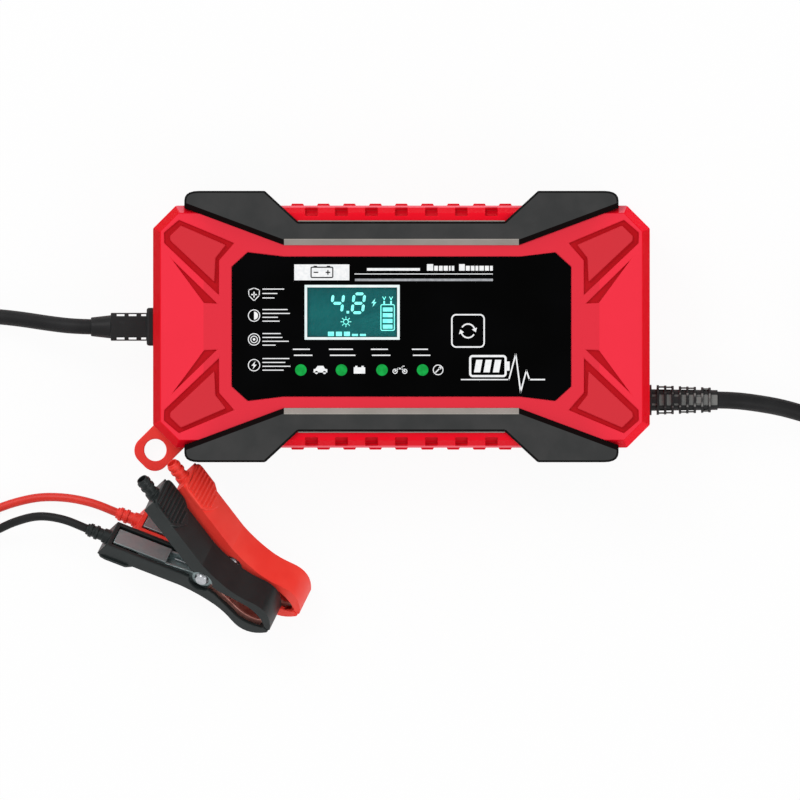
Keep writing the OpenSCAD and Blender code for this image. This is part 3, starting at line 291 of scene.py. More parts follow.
output_thick, output_middle, output_radius, output_turns = 5.4, (-220, -36), 36, 3.5
output_side = output_middle[1] - output_radius
output_path = smooth([
    (-101.5, 0, 21), (-109, 0, 21), (-117, 0.4, 20), (-125, 1.4, 16.6), (-133, 2.6, 12), (-142, 3.6, 7.6),
    (-152, 4, 4.8), (-164, 3.6, 3.8), (-178, 2.4, 3.6), (-194, 0.9, 3.6), (-204, 0.1, 3.7),
    (-210.6, 0, 3.7), (-214.6, 0, 3.7)], 3)
output_path += coil(output_middle, 90, output_turns, output_radius, 6.2, output_thick)
output_path += smooth([
    (-214.6, output_side, 9.8), (-210.6, output_side, 9.8), (-203, output_side, 7.6),
    (-196, output_side, 4.6), (-188, output_side, 3.6), (-185, output_side, 3.6),
    (-180.1, output_side, 3.6)], 3)
output_cord = put(
    "output_cable", cord_curve("output_cable", output_path, output_thick), cord_black,
    replaces=["output_cord", "output_cord_coil"])


def clamp_place(pivot, heading, pitch, roll):
    """A clamp's own frame in millimetres: origin in its pivot, +X to the jaws, +Z to the upper lever."""
    turn = Matrix.Rotation(math.radians(heading), 4, "Z") @ Matrix.Rotation(math.radians(pitch), 4, "Y")
    return Matrix.Translation(pivot) @ turn @ Matrix.Rotation(math.radians(roll), 4, "X")


handle_near, handle_far, handle_thick, boot_long = (4, 7.8), (33, 19.8), 6.6, 8


def lead_end(place):
    """The last stretch of a lead: straight through the lower handle's boot and into the handle."""
    slope = math.atan2(handle_far[1] - handle_near[1], handle_far[0] - handle_near[0])
    out = Vector((-math.cos(slope), 0, -math.sin(slope)))
    boot_tip = Vector((-handle_far[0], 0, -handle_far[1] + handle_thick / 2 + 0.3)) + boot_long * out
    return [tuple(place @ (boot_tip + k * out)) for k in (9, 0, -9, -18)]


clamps = {
    "red": clamp_place((-58.2, -79.8, 13.8), -36, 11, -42),
    "black": clamp_place((-68.6, -85.4, 23.4), -36, 11, -42)}
lead_thick = 3.0
red_path = smooth([
    (-167, -69.7, 3.6), (-161, -69.7, 3.6), (-153, -68.2, 2.6), (-145, -65, 2), (-136, -61.8, 2),
    (-127, -60, 2.6), (-117.5, -60.2, 4.6), *lead_end(clamps["red"])], 2)
black_path = smooth([
    (-167, -74.3, 3.6), (-161, -74.3, 3.6), (-153, -75, 2.6), (-145, -72.6, 4.6), (-136, -68.6, 9),
    (-127.5, -66.6, 13.4), *lead_end(clamps["black"])], 2)
red_lead = put(
    "red_wire", cord_curve("red_wire", red_path, lead_thick), lead_red,
    replaces=["red_lead"])
black_lead = put(
    "black_wire", cord_curve("black_wire", black_path, lead_thick), cord_black,
    replaces=["black_lead"])


# ---- Housing
# Two red moulded shells that meet halfway up. A copy of each shell has its edges rounded as a mould
# leaves them. The face is creased between the corner fins, and the fins stand in shallow grooves.
def room_at(vert, sharp):
    """The widest rounding that uses less than half of each edge beside a vertex."""
    room = 1.0
    for loop in vert.link_loops:
        pair = [loop.edge, loop.link_loop_prev.edge]
        flat = [e for e in pair if e not in sharp]
        angle = loop.calc_angle()
        if not flat:
            room = min(room, 0.45 * min(e.calc_length() for e in pair) * math.tan(min(angle, 3.1) / 2))
        elif len(flat) == 1:
            room = min(room, 0.45 * flat[0].calc_length() * max(0.3, math.sin(angle)))
    return room


def in_line(first, second, vert):
    """Whether two edges run on through a vertex."""
    away = [(e.other_vert(vert).co - vert.co).normalized() for e in (first, second)]
    return away[0].dot(away[1]) < -0.5


def edge_widths(bm, sharp, width):
    """The rounding that each sharp edge has room for. Edges that run on in one line share the least."""
    wide = {e: min(width, *(room_at(v, sharp) for v in e.verts)) for e in sharp}
    waiting = sorted(sharp, key=wide.get)
    while waiting:
        edge = waiting.pop(0)
        for vert in edge.verts:
            for other in vert.link_edges:
                if other in wide and wide[other] > wide[edge] and in_line(edge, other, vert):
                    wide[other] = wide[edge]
                    waiting.insert(0, other)
    return wide


def mesh_of(name, bm):
    """The mesh that a bmesh has become."""
    mesh = bpy.data.meshes.new(name)
    bm.to_mesh(mesh)
    bm.free()
    return mesh


def rounded_copy(
        node, name, width, finish, body="charger", segments=2, angle=28, least=None, wide=None):
    """A copy of a CAD node with small rounded edges, which stands for the node. Widths are in millimetres.
    Where wide, a test of the place of an edge's middle, says no, the edge has the width least."""
    same_place, same_plane = 0.02 * MM, math.radians(0.6)
    bm = bmesh.new()
    bm.from_mesh(nodes[node].data)
    bmesh.ops.remove_doubles(bm, verts=bm.verts, dist=same_place)
    bmesh.ops.dissolve_limit(bm, angle_limit=same_plane, verts=bm.verts, edges=bm.edges)
    share = bm.edges.layers.float.new("bevel_weight_edge")
    sharp = {e for e in bm.edges if len(e.link_faces) == 2 and e.calc_face_angle() > math.radians(angle)}
    for edge, room in edge_widths(bm, sharp, width * MM).items():
        narrow = wide and not wide((edge.verts[0].co + edge.verts[1].co) / (2 * MM))
        edge[share] = min(room, least * MM if narrow else room) / (width * MM)
    mesh = mesh_of(name, bm)
    mesh.shade_smooth()
    mesh.set_sharp_from_angle(angle=math.radians(angle))
    piece = put(name, mesh, finish, body, [node])
    bevel = piece.modifiers.new("edges", "BEVEL")
    bevel.width, bevel.segments = width * MM, segments
    bevel.limit_method, bevel.use_clamp_overlap = "WEIGHT", False
    normals = piece.modifiers.new("normals", "WEIGHTED_NORMAL")
    normals.keep_sharp = True


# Where the shells' colour changes, in millimetres from the middle of the housing. Much of this colour is
# painted
# light and shade: a painted highlight past the crease, painted shade on the sides, in the grooves and in the
# pockets, and pale pink painted highlights on the end facets and the ribbed rims.
groove_top, fin_top, crest_y, crest_z = 41.4, 42.2, 39.7, 42
face_x, face_y, face_corner = 84, 39.4, 117.2
ribs_x, ribs_y = 46, 35.5
crease_x, end_x = 69.1, 76
bevel_y, bevel_z = 0.829, 0.559

shell = Finish("shell_red", Specular_IOR_Level=0.07)
x, y, z = shell.axes()
nx, ny, nz = shell.facing()
# Painted highlight: past the crease, and further in beside the fins, the face is painted brighter, where the
# fold catches more light.
crease = shell.past(abs(x), crease_x, 0.4)
beside_fin = shell.past(abs(y), 17, 4)
far = crease + (shell.past(abs(x), 62, 14) - crease) * beside_fin
on_face, on_fin = shell.past(z, groove_top), shell.past(z, fin_top, 0.15)
within = (1 - shell.past(abs(x), face_x)) * (1 - shell.past(abs(y), face_y))
within = within * (1 - shell.past(abs(x) + abs(y), face_corner, 0.4))
in_ribs = shell.past(abs(y), ribs_y, 0.5) * (1 - shell.past(abs(x), ribs_x, 1))
level = shell.ease(nz, 0.9, 0.97)
flat_face = level + within * (1 - in_ribs) * (1 - level)
# Painted shade on the steep side strips, and painted light and shade on the corner strips, chosen by which
# way each surface faces. The right side is painted lighter than the left.
side_shading_strip, corner_shading_strip = shell.ease(abs(nx), 0.72, 0.8), shell.ease(abs(nx * ny), 0.2, 0.3)
# Painted highlight on the facets at the ends of the long sides.
end_facet_highlight = shell.ease(ny, 0.7, 0.8) * shell.past(abs(x), end_x, 0.4)
right_painted_lighter = shell.past(x, -1, 2)
# Painted highlight along the outer rim of the ribbed strips.
rim_highlight = in_ribs * shell.past(abs(y), 41.6, 0.2) * shell.past(z, 37.6)
# Painted shade in the pockets below the bevel of the ribbed strips.
below_bevel = (abs(y) - crest_y * MM) * bevel_y + (z - crest_z * MM) * bevel_z
pocket_shade = (1 - shell.past(below_bevel, -0.6)) * (1 - shell.past(z, 41.6, 0.2))

# The face's red, with a painted highlight past the crease.
face_red = shell.blend(far, paint(228, 49, 65), paint(244, 50, 69))
face_red = shell.blend(in_ribs, face_red, paint(240, 8, 34))
face_red = shell.blend(on_fin, face_red, paint(212, 50, 60))
# Painted shade on the side strips and painted light and shade on the corner strips, lighter on the right.
side_shading_red = shell.blend(right_painted_lighter, paint(205, 2, 18), paint(230, 2, 24))
corner_shading_red = shell.blend(right_painted_lighter, paint(226, 4, 24), paint(252, 12, 40))
body_red = shell.blend(side_shading_strip, paint(238, 10, 34), side_shading_red)
body_red = shell.blend(corner_shading_strip, body_red, corner_shading_red)
# Pale pink painted highlight on the end facets.
body_red = shell.blend(end_facet_highlight, body_red, paint(255, 104, 120))
# Pale pink painted highlight on the rims.
body_red = shell.blend(rim_highlight, body_red, paint(255, 112, 126))
# Painted shade in the pockets.
body_red = shell.blend(in_ribs * pocket_shade, body_red, paint(204, 4, 24))
# Painted shade: the grooves round the fins are painted darker red.
groove_shade_red = paint(184, 12, 24)
tone = shell.blend(flat_face, body_red, shell.blend(on_face, groove_shade_red, face_red))
cloud, grain = shell.noise(20 * MM, 3), shell.noise(0.4 * MM, 1)
tone = shell.blend(shell.ease(cloud, 0.35, 0.7) * 0.12, tone, paint(228, 44, 56))
tone = shell.blend(shell.ease(shell.noise(4 * MM, 6), 0.72, 0.82) * 0.2, tone, paint(170, 14, 28))
shell.set(Base_Color=tone, Roughness=0.42 + 0.06 * (cloud - 0.5) + 0.08 * (grain - 0.5))
shell.bump(grain, 0.02 * MM)
rounded_copy("front_shell", "front_housing", 0.35, shell)
rounded_copy("rear_shell", "rear_housing", 0.35, shell)


# ---- Bumpers
# Dark soft-touch caps over the long sides' corners, joined by a bar along the face. Their bevels are
# painted near black, as painted shade. A pale grey strip along the inner edge of each bar is a painted
# highlight of the bar's bevel.
def coat_node(name, finish):
    """Gives a CAD node its finish."""
    mesh = nodes[name].data
    mesh.materials.clear()
    mesh.materials.append(finish.material)


soft_touch = Finish("bumper_black", Specular_IOR_Level=0.08)
# Painted shade: every face but the top is painted near black, standing for the bevels in shadow.
top = soft_touch.ease(soft_touch.facing()[2], 0.9, 0.97)
grain = soft_touch.noise(0.3 * MM, 1)
dark_grey = soft_touch.cloudy(10 * MM, 3, paint(56, 57, 57), paint(63, 63, 63))
tone = soft_touch.blend(top, paint(2, 2, 2), dark_grey)
soft_touch.set(Base_Color=tone, Roughness=0.55 + 0.1 * (grain - 0.5))
soft_touch.bump(grain, 0.03 * MM)
for side in ("upper", "lower"):
    rounded_copy(f"{side}_bumper", f"{side}_corner_guard", 0.3, soft_touch)
    # A pale grey strip on each bar: a painted highlight of the bar's bevel.
    strip = moulded(f"{side}_strip_highlight_grey", paint(166, 160, 154), paint(152, 148, 141), 0.4, specular=0.2)
    coat_node(f"{side}_trim_strip", strip)


# ---- Panel
# A black printed film over a plate. The print is a thin white ink: a plate with a battery sign, a rule,
# four signs with their captions down the left, and a caption and a sign for each lamp.
film = Finish("panel_film", Specular_IOR_Level=0.03)
film.set(
    Base_Color=film.cloudy(30 * MM, 2, paint(0, 0, 0), paint(3, 3, 4)),
    Roughness=0.28 + 0.1 * (film.noise(6 * MM, 4) - 0.5))
film.bump(film.noise(0.8 * MM, 1), 0.004 * MM)
coat_node("front_panel", film)


def printed(name, first, second, roughness=0.6, specular=0.2):
    """Ink, a little uneven."""
    ink = Finish(name, Roughness=roughness, Specular_IOR_Level=specular)
    ink.set(Base_Color=ink.cloudy(1.2 * MM, 3, first, second))
    return ink


white_ink = printed("print_white", paint(236, 238, 240), paint(250, 250, 250))
grey_ink = printed("print_grey", paint(150, 152, 156), paint(172, 174, 178))
dark_ink = printed("print_black", paint(6, 7, 9), paint(14, 15, 17), 0.5, 0.1)
panel_top, ink_thick = 42.2, 0.03
drawn_middle, drawn_unit = (401.5, 326.5), 0.35


def at(px, py):
    """A place on the panel in millimetres, from a place on its drawing, whose y runs down."""
    return (px - drawn_middle[0]) * drawn_unit, (drawn_middle[1] - py) * drawn_unit


def arc(radius, cx, cy, start, end, count):
    """Places along an arc from one angle to another, in degrees."""
    angles = [math.radians(start + (end - start) * k / count) for k in range(count + 1)]
    return [(cx + radius * math.cos(a), cy + radius * math.sin(a)) for a in angles]


class Print:
    """Flat printed shapes on one level, in millimetres from the middle of the sign that is being drawn."""

    def __init__(self, level):
        self.bm, self.level, self.middle = bmesh.new(), level, (0, 0)

    def outline(self, points):
        mx, my = self.middle
        corners = [self.bm.verts.new(((mx + px) * MM, (my + py) * MM, self.level * MM)) for px, py in points]
        bmesh.ops.contextual_create(self.bm, geom=corners)

    def bar(self, x0, y0, x1, y1):
        self.outline([(x0, y0), (x1, y0), (x1, y1), (x0, y1)])

    def stroke(self, points, width):
        """A line through the points. Each run is a bar that goes on by half a width at both ends."""
        for (ax, ay), (bx, by) in zip(points, points[1:]):
            run = math.hypot(bx - ax, by - ay)
            ux, uy = (bx - ax) / run * width / 2, (by - ay) / run * width / 2
            self.outline([
                (ax - ux - uy, ay - uy + ux), (ax - ux + uy, ay - uy - ux),
                (bx + ux + uy, by + uy - ux), (bx + ux - uy, by + uy + ux)])

    def disc(self, radius, cx=0, cy=0, start=0, end=360, steps=32):
        edge = arc(radius, cx, cy, start, end, round(steps * (end - start) / 360))
        self.outline(edge if end - start < 360 else edge[:-1])

    def ring(self, radius, width, cx=0, cy=0, start=0, end=360, steps=40):
        count = round(steps * (end - start) / 360)
        inner, outer = (arc(radius + s * width / 2, cx, cy, start, end, count) for s in (-1, 1))
        for k in range(count):
            self.outline([inner[k], outer[k], outer[k + 1], inner[k + 1]])

    def box(self, wide, high, corner, width):
        """A square line with round corners, round the middle."""
        across, up = wide / 2 - corner, high / 2 - corner
        for sx, sy, start in ((1, 1, 0), (-1, 1, 90), (-1, -1, 180), (1, -1, 270)):
            self.ring(corner, width, sx * across, sy * up, start, start + 90)
        for s in (-1, 1):
            self.bar(-across, s * high / 2 - width / 2, across, s * high / 2 + width / 2)
            self.bar(s * wide / 2 - width / 2, -up, s * wide / 2 + width / 2, up)

    def bolt(self):
        self.outline([(0.5, 1.5), (-0.9, -0.2), (-0.1, -0.2), (-0.5, -1.5), (0.9, 0.2), (0.1, 0.2)])

    def done(self, name, finish, body="charger"):
        """Gives the shapes the thickness of ink, and makes them a piece."""
        for face in self.bm.faces:
            face.normal_update()
        bmesh.ops.reverse_faces(self.bm, faces=[f for f in self.bm.faces if f.normal.z < 0])
        raised = bmesh.ops.extrude_face_region(self.bm, geom=self.bm.faces[:])["geom"]
        upper = [v for v in raised if isinstance(v, bmesh.types.BMVert)]
        bmesh.ops.translate(self.bm, vec=(0, 0, ink_thick * MM), verts=upper)
        bmesh.ops.recalc_face_normals(self.bm, faces=self.bm.faces)
        put(name, mesh_of(name, self.bm), finish, body)


# The plate, the rule, the captions of the left signs, and two caption bars over each lamp.
white = Print(panel_top)
white.bar(*at(294.3, 280.2), *at(349.4, 264.3))
white.bar(*at(354.6, 274.3), *at(493, 273.5))
for py, pitch, lengths in (
        (288.5, 1.55, (7.6, 5.2, 4.2)), (309, 1.35, (8.8, 9.6, 5.4, 6.0)),
        (333, 1.35, (6.4, 7.0, 9.2, 4.6)), (358, 1.35, (9.4, 8.0, 9.8, 7.4))):
    left, high = at(262.5, py)
    for k, run in enumerate(lengths):
        white.bar(left, high - k * pitch - 0.34, left + run, high - k * pitch)
for px, wide in ((293, 17), (329, 24), (371, 17), (412, 16)):
    for start, py, more in ((px, 348.6, 0), (px + 1, 354.6, 0.5)):
        left, high = at(start, py)
        white.bar(left, high - 0.42, left + wide * drawn_unit + more, high)

# The signs at the left: a shield with a cross, a half disc, two rings and a lightning bolt in a ring.
white.middle = at(254.1, 294.5)
white.stroke([(-1.9, 1.6), (0, 2.3), (1.9, 1.6), (1.8, -0.3), (0, -2.2), (-1.8, -0.3), (-1.9, 1.6)], 0.3)
white.bar(-1.0, -0.2, 1.0, 0.2)
white.bar(-0.2, -1.0, 0.2, 1.0)
for py in (315.5, 339.3, 365.1):
    white.middle = at(254.1, py)
    white.ring(2.0, 0.3)
white.bolt()
white.middle = at(254.1, 339.3)
white.ring(1.15, 0.3)
white.disc(0.45)
white.middle = at(254.1, 315.5)
white.disc(1.4, start=-90, end=90)

# The signs at the lamps: a car, a car's battery, a motorcycle and a ring with a stroke.
white.middle = at(320.5, 369.8)
white.outline([
    (-2.4, -0.9), (2.4, -0.9), (2.4, 0.2), (1.6, 0.4), (1.0, 1.4), (-1.0, 1.4), (-1.7, 0.4), (-2.4, 0.2)])
for s in (-1, 1):
    white.disc(0.55, s * 1.4, -0.9)
white.middle = at(359.5, 369.8)
white.bar(-2.0, -1.3, 2.0, 0.9)
white.bar(-1.5, 0.9, -0.7, 1.4)
white.bar(0.7, 0.9, 1.5, 1.4)
white.middle = at(400, 369.8)
for s in (-1, 1):
    white.ring(0.75, 0.3, s * 1.7, -0.5)
white.stroke([(-1.7, -0.4), (-0.6, 0.5), (0.6, 0.4), (1.7, -0.5)], 0.5)
white.stroke([(0.5, 0.4), (0.9, 1.3), (1.5, 1.3)], 0.25)
white.middle = at(438.2, 369.8)
white.ring(1.7, 0.3)
white.stroke([(-0.8, -0.8), (0.6, 0.6)], 0.4)
white.disc(0.5, 0.7, 0.7)

# The charging battery at the lower right, and the zigzag line under it.
white.middle = at(488, 366)
white.box(12.4, 7.0, 0.9, 0.75)
white.bar(6.6, -1.6, 7.6, 1.6)
for left in (-4.9, -1.6, 1.7):
    white.outline([(left, -2.2), (left + 2.2, -2.2), (left + 3.0, 2.2), (left + 0.8, 2.2)])
white.middle = at(509, 379.5)
white.bar(-16.8, -0.2, 0, 0.2)
wave = [(0, 0), (2.4, 9.0), (4.1, -4.4), (6.1, 3.2), (7.2, 0), (12.4, 0)]
white.stroke(wave, 0.5)
for px, py in wave[:5]:
    white.disc(0.25, px, py, steps=12)
white.done("panel_print", white_ink)

grey = Print(panel_top)
grey.bar(*at(355, 281), *at(493, 278.6))
grey.done("panel_print_fine", grey_ink)

title = Print(panel_top)
left, low = at(427, 270.6)
for word in ((2.2, 1.3, 1.3, 1.5, 0.6, 0.9), (2.0, 1.4, 1.3, 1.0, 1.6, 1.4, 1.0)):
    for k, wide in enumerate(word):
        title.bar(left, low, left + wide, low + (1.7 if k else 2.3))
        left += wide + 0.35
    left += 1.35
title.bar(*at(367, 270.6), *at(420, 268))
title.done("panel_title_bars", white_ink)

plate_sign = Print(panel_top + ink_thick)
plate_sign.middle = at(322, 272.3)
plate_sign.box(7.6, 3.6, 0.4, 0.4)
for s in (-1, 1):
    plate_sign.bar(s * 2.3 - 0.6, 1.9, s * 2.3 + 0.6, 2.3)
    plate_sign.bar(s * 2.1 - 0.8, -0.2, s * 2.1 + 0.8, 0.2)
plate_sign.bar(1.9, -0.8, 2.3, 0.8)
plate_sign.done("panel_plate_sign", dark_ink)


# ---- Display
# A backlit cell under a clear window, in a white printed frame. It shows a reading, a battery that fills
# and a sun for the summer setting.
bezel = Finish("bezel_ink", Roughness=0.5, Specular_IOR_Level=0.25)
bezel.set(Base_Color=bezel.cloudy(3 * MM, 3, paint(228, 244, 244), paint(244, 252, 252)))
coat_node("lcd_bezel", bezel)

cell = Finish("display_cell", Roughness=0.5, Specular_IOR_Level=0.1)
x, y, z = cell.axes()
glow = cell.cloudy(9 * MM, 2, paint(10, 83, 85), paint(16, 97, 97))
glow = cell.blend(cell.past(y, 2, 13) * 0.5, glow, paint(10, 76, 79))
columns = (abs(x.sum("SINE", x * 9000)) > 0.2) * 0.04
glow = cell.blend(columns, glow, paint(60, 150, 150))
cell.set(Base_Color=glow, Emission_Color=glow, Emission_Strength=0.25)
coat_node("lcd_module", cell)

window = Finish("window_clear", Roughness=0.05, Alpha=0.08, Specular_IOR_Level=0.3)
window.set(Base_Color=window.cloudy(12 * MM, 2, paint(40, 110, 114), paint(60, 130, 134)))
coat_node("lcd_glass", window)

lit = Finish("display_lit", Roughness=0.5, Specular_IOR_Level=0.1, Emission_Strength=0.55)
shade = lit.cloudy(2 * MM, 2, paint(118, 246, 232), paint(150, 255, 245))
lit.set(Base_Color=shade, Emission_Color=shade)
cell_top = 41.3
screen = Print(cell_top + 0.02)

# The reading's figures: how wide and high they are, how they lean, and the bars between their corners.
figure_wide, figure_high, lean = 3.7, 6.6, 0.12
bar_tip, bar_neck, bar_half = 0.341, 0.806, 0.5
figure_bars = {
    "top": ((0, 1), (1, 1)), "middle": ((0, 0.5), (1, 0.5)), "bottom": ((0, 0), (1, 0)),
    "upper_left": ((0, 1), (0, 0.5)), "lower_left": ((0, 0.5), (0, 0)),
    "upper_right": ((1, 1), (1, 0.5)), "lower_right": ((1, 0.5), (1, 0))}


def figure(px, py, bars):
    """A figure with its lower left corner at a place on the drawing. Each bar is a long hexagon."""
    left, low = at(px, py)
    for one in bars:
        (ax, ay), (bx, by) = ((fx * figure_wide, fy * figure_high) for fx, fy in figure_bars[one])
        run = math.hypot(bx - ax, by - ay)
        ux, uy = (bx - ax) / run, (by - ay) / run
        hexagon = [(ax + ux * along - uy * aside, ay + uy * along + ux * aside) for along, aside in (
            (bar_tip, 0), (bar_neck, bar_half), (run - bar_neck, bar_half),
            (run - bar_tip, 0), (run - bar_neck, -bar_half), (bar_neck, -bar_half))]
        screen.outline([(left + hx + lean * hy, low + hy) for hx, hy in hexagon])


figure(331, 312.6, ["upper_left", "middle", "upper_right", "lower_right"])
screen.bar(*at(346.6, 313.4), *at(349.2, 310.8))
figure(352, 312.6, figure_bars)
for k in range(5):
    screen.bar(*at(328 + 8 * k, 336), *at(334 + 8 * k, 333.8 if k > 2 else 331.6))
screen.middle = at(374, 302.5)
screen.bolt()
screen.middle = at(346, 321.7)
screen.ring(0.85, 0.28)
for k in range(8):
    ray = math.radians(45 * k)
    screen.stroke([(reach * math.cos(ray), reach * math.sin(ray)) for reach in (1.25, 1.75)], 0.26)
screen.middle = at(387.7, 317.4)
screen.box(4.7, 9.0, 0.5, 0.35)
for k in range(4):
    screen.bar(-1.7, -3.9 + 2.0 * k, 1.7, -2.5 + 2.0 * k)
for pole in (-1.2, 1.2):
    screen.stroke([(pole - 0.5, 7.2), (pole, 6.3), (pole + 0.5, 7.2)], 0.3)
    screen.bar(pole - 0.3, 4.7, pole + 0.3, 5.8)
screen.done("display_signs", lit)


# ---- Lamps
# Four windows of green plastic, flush in the panel. Under each one a small light stands on the display
# board.
lens = Finish("lamp_green", Roughness=0.35, Specular_IOR_Level=0.12, Emission_Strength=0.15)
shade = lens.cloudy(1.5 * MM, 2, paint(6, 142, 56), paint(14, 164, 68))
lens.set(Base_Color=shade, Emission_Color=shade)
lens.bump(lens.noise(0.5 * MM, 1), 0.02 * MM)
coat_node("led_lenses", lens)
coat_node("status_leds", moulded("led_body", paint(230, 228, 210), paint(210, 208, 190), 0.4))


# ---- Mode button
# A square black key that stands on its switch and comes through the panel. It has a white line round it
# and a sign of two turning arrows.
coat_node("mode_button", film)
key_top, arrow_radius, arrow_half, arrow_long = 42.8, 2.4, 0.95, 1.4
key = Print(key_top)
key.middle = (23.3, -1.5)
key.box(11.3, 11.3, 1.5, 0.5)
for first in (20, 200):
    key.ring(arrow_radius, 0.5, start=first, end=first + 130)
    c, s = math.cos(math.radians(first)), math.sin(math.radians(first))
    key.outline([
        ((arrow_radius + arrow_half) * c, (arrow_radius + arrow_half) * s),
        ((arrow_radius - arrow_half) * c, (arrow_radius - arrow_half) * s),
        (arrow_radius * c + arrow_long * s, arrow_radius * s - arrow_long * c)])
key.done("button_print", white_ink, "mode_button")
coat_node("tact_switch", moulded("switch_grey", paint(70, 72, 74), paint(50, 52, 54), 0.4))


# ---- Hanging ear
# A flat bright red tongue, moulded in one piece, with a hole for a hook. It slides out of a slot in the
# rear shell's corner.
ear = moulded("ear_red", paint(255, 76, 68), paint(252, 66, 60), 0.4, specular=0.1)
rounded_copy("hanging_ear", "ear_tongue", 0.3, ear, "hanging_ear")


# ---- Strain reliefs, split boot and plug
# Black rubber mouldings on the cords: a ribbed cone, a flat one with windows, the boot where the cord
# splits, and a flat two-pin plug with plated pins. A fabric tie holds each coil.
rubber = moulded(
    "rubber_black", paint(36, 36, 37), paint(24, 24, 25), 0.45, 0.4 * MM, 0.02 * MM, 0.25, paint(56, 56, 57))
sleeve = moulded("sleeve_rubber", paint(36, 36, 37), paint(24, 24, 25), 0.5, 0.4 * MM, 0.02 * MM, 0.25)
x, y, z = sleeve.axes()
# Painted highlight: a pale grey band on the upward face of the mains sleeve's core.
core_highlight = sleeve.ease(sleeve.facing()[2], 0.84, 0.88) * (1 - sleeve.past(z, 25.2, 0.4))
dark = sleeve.cloudy(6 * MM, 3, paint(24, 24, 25), paint(34, 34, 35))
sleeve.set(Base_Color=sleeve.blend(core_highlight, dark, paint(118, 118, 116)))


flange_face, core_wide, core_high, core_middle = -89.4, 9.8, 8.4, 21


def on_flange_rim(place):
    """Whether a place is on the output sleeve's flange, at its face and outside the sleeve's core."""
    beyond = max(abs(place.y) / (core_wide / 2), abs(place.z - core_middle) / (core_high / 2))
    return abs(place.x - flange_face) < 0.1 and beyond > 1.1


rounded_copy("mains_strain_relief", "mains_sleeve", 0.12, sleeve)
rounded_copy(
    "output_strain_relief", "output_sleeve", 1.4, rubber, segments=3, least=0.25,
    wide=on_flange_rim)
rounded_copy("split_boot", "cord_splitter", 0.2, rubber)
rounded_copy("mains_plug_body", "plug_moulding", 0.4, rubber)
pins = Finish("pin_nickel", Metallic=1.0)
pins.set(
    Base_Color=pins.cloudy(2 * MM, 4, paint(196, 192, 180), paint(214, 210, 200)),
    Roughness=0.22 + 0.15 * (pins.noise(1 * MM, 3, (1, 8, 8)) - 0.5))
coat_node("mains_plug_pins", pins)
tie = Finish("tie_fabric", Roughness=0.85, Specular_IOR_Level=0.1)
loops = tie.noise(0.35 * MM, 2)
tie.set(Base_Color=tie.blend(loops, paint(18, 18, 19), paint(48, 48, 50)))
tie.bump(loops, 0.15 * MM)
for cord in ("mains", "output"):
    rounded_copy(f"{cord}_cord_tie", f"{cord}_band", 0.2, tie)


# ---- Battery clamps
# Each has two soft vinyl covers with ribbed pads, two pressed steel jaws, copper plated at the mouth, a
# riveted pin and a wire spring.
vinyl_red = moulded("vinyl_red", paint(255, 74, 62), paint(250, 62, 52), 0.34, 0.5 * MM, 0.015 * MM, 0.25)
vinyl_black = moulded(
    "vinyl_black", paint(37, 42, 42), paint(29, 34, 34), 0.32, 0.5 * MM, 0.01 * MM, 0.25, paint(51, 54, 55))
steel = Finish("plated_steel", Metallic=1.0)
steel.set(
    Base_Color=steel.cloudy(3 * MM, 4, paint(178, 180, 184), paint(208, 210, 214)),
    Roughness=0.3 + 0.2 * (steel.noise(0.8 * MM, 3, (6, 1, 1)) - 0.5))
steel.bump(steel.noise(0.5 * MM, 2), 0.01 * MM)


def jaw_metal(colour):
    """Pressed steel whose mouth is copper plated, from 4 mm ahead of the clamp's pivot."""
    metal = Finish(f"{colour}_jaw_metal")
    pivot, forward = clamps[colour].translation * MM, clamps[colour].col[0].to_3d()
    ahead = metal.add("ShaderNodeVectorMath", {"operation": "SUBTRACT"}, {0: metal.place(), 1: pivot})
    reach = metal.add("ShaderNodeVectorMath", {"operation": "DOT_PRODUCT"}, {0: ahead, 1: forward}, 1)
    tarnish = metal.ease(metal.noise(2.5 * MM, 5), 0.4, 0.75)
    plating = metal.blend(tarnish, paint(216, 152, 140), paint(176, 114, 104))
    bare = metal.blend(tarnish, paint(150, 164, 165), paint(136, 150, 151))
    metal.set(
        Base_Color=metal.blend(metal.past(reach, 3.8, 0.6), bare, plating),
        Metallic=0.65, Roughness=0.42 + 0.16 * (tarnish - 0.3))
    metal.bump(metal.noise(0.6 * MM, 2), 0.012 * MM)
    return metal


def spring_path(width=2.05, radius=2.6, first=67, leg=12, turns=2, steps=64):
    """The clamp spring's wire: a leg along each lever, and the turns round the pin between them."""
    start = math.radians(first)
    sweep = 2 * start + 2 * math.pi * turns
    leg_x = radius * math.cos(start) - leg * math.sin(start)
    leg_z = radius * math.sin(start) + leg * math.cos(start)
    path = [(leg_x, -width, leg_z)]
    for i in range(steps + 1):
        angle = start - sweep * i / steps
        path.append((radius * math.cos(angle), width * (2 * i / steps - 1), radius * math.sin(angle)))
    return path + [(leg_x, width, -leg_z)]


def wind_spring(colour):
    """The wire spring: a round wire along its path in the clamp's frame, which stands for the CAD spring."""
    name, place = f"{colour}_wire_spring", clamps[colour]
    wire = cord_curve(name, [place @ Vector(point) for point in spring_path()], 0.8, 4)
    line = bpy.data.objects.new(f"{name}_line", wire)
    spring = bpy.data.objects.new(name, bpy.data.meshes.new_from_object(line))
    bpy.data.objects.remove(line)
    bpy.context.scene.collection.objects.link(spring)
    spring.data.materials.clear()
    spring.data.materials.append(steel.material)
    still, moving = (place @ Vector((0, side * 1.9, 0)) * MM for side in (1, -1))
    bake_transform(spring)
    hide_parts(f"{colour}_spring")


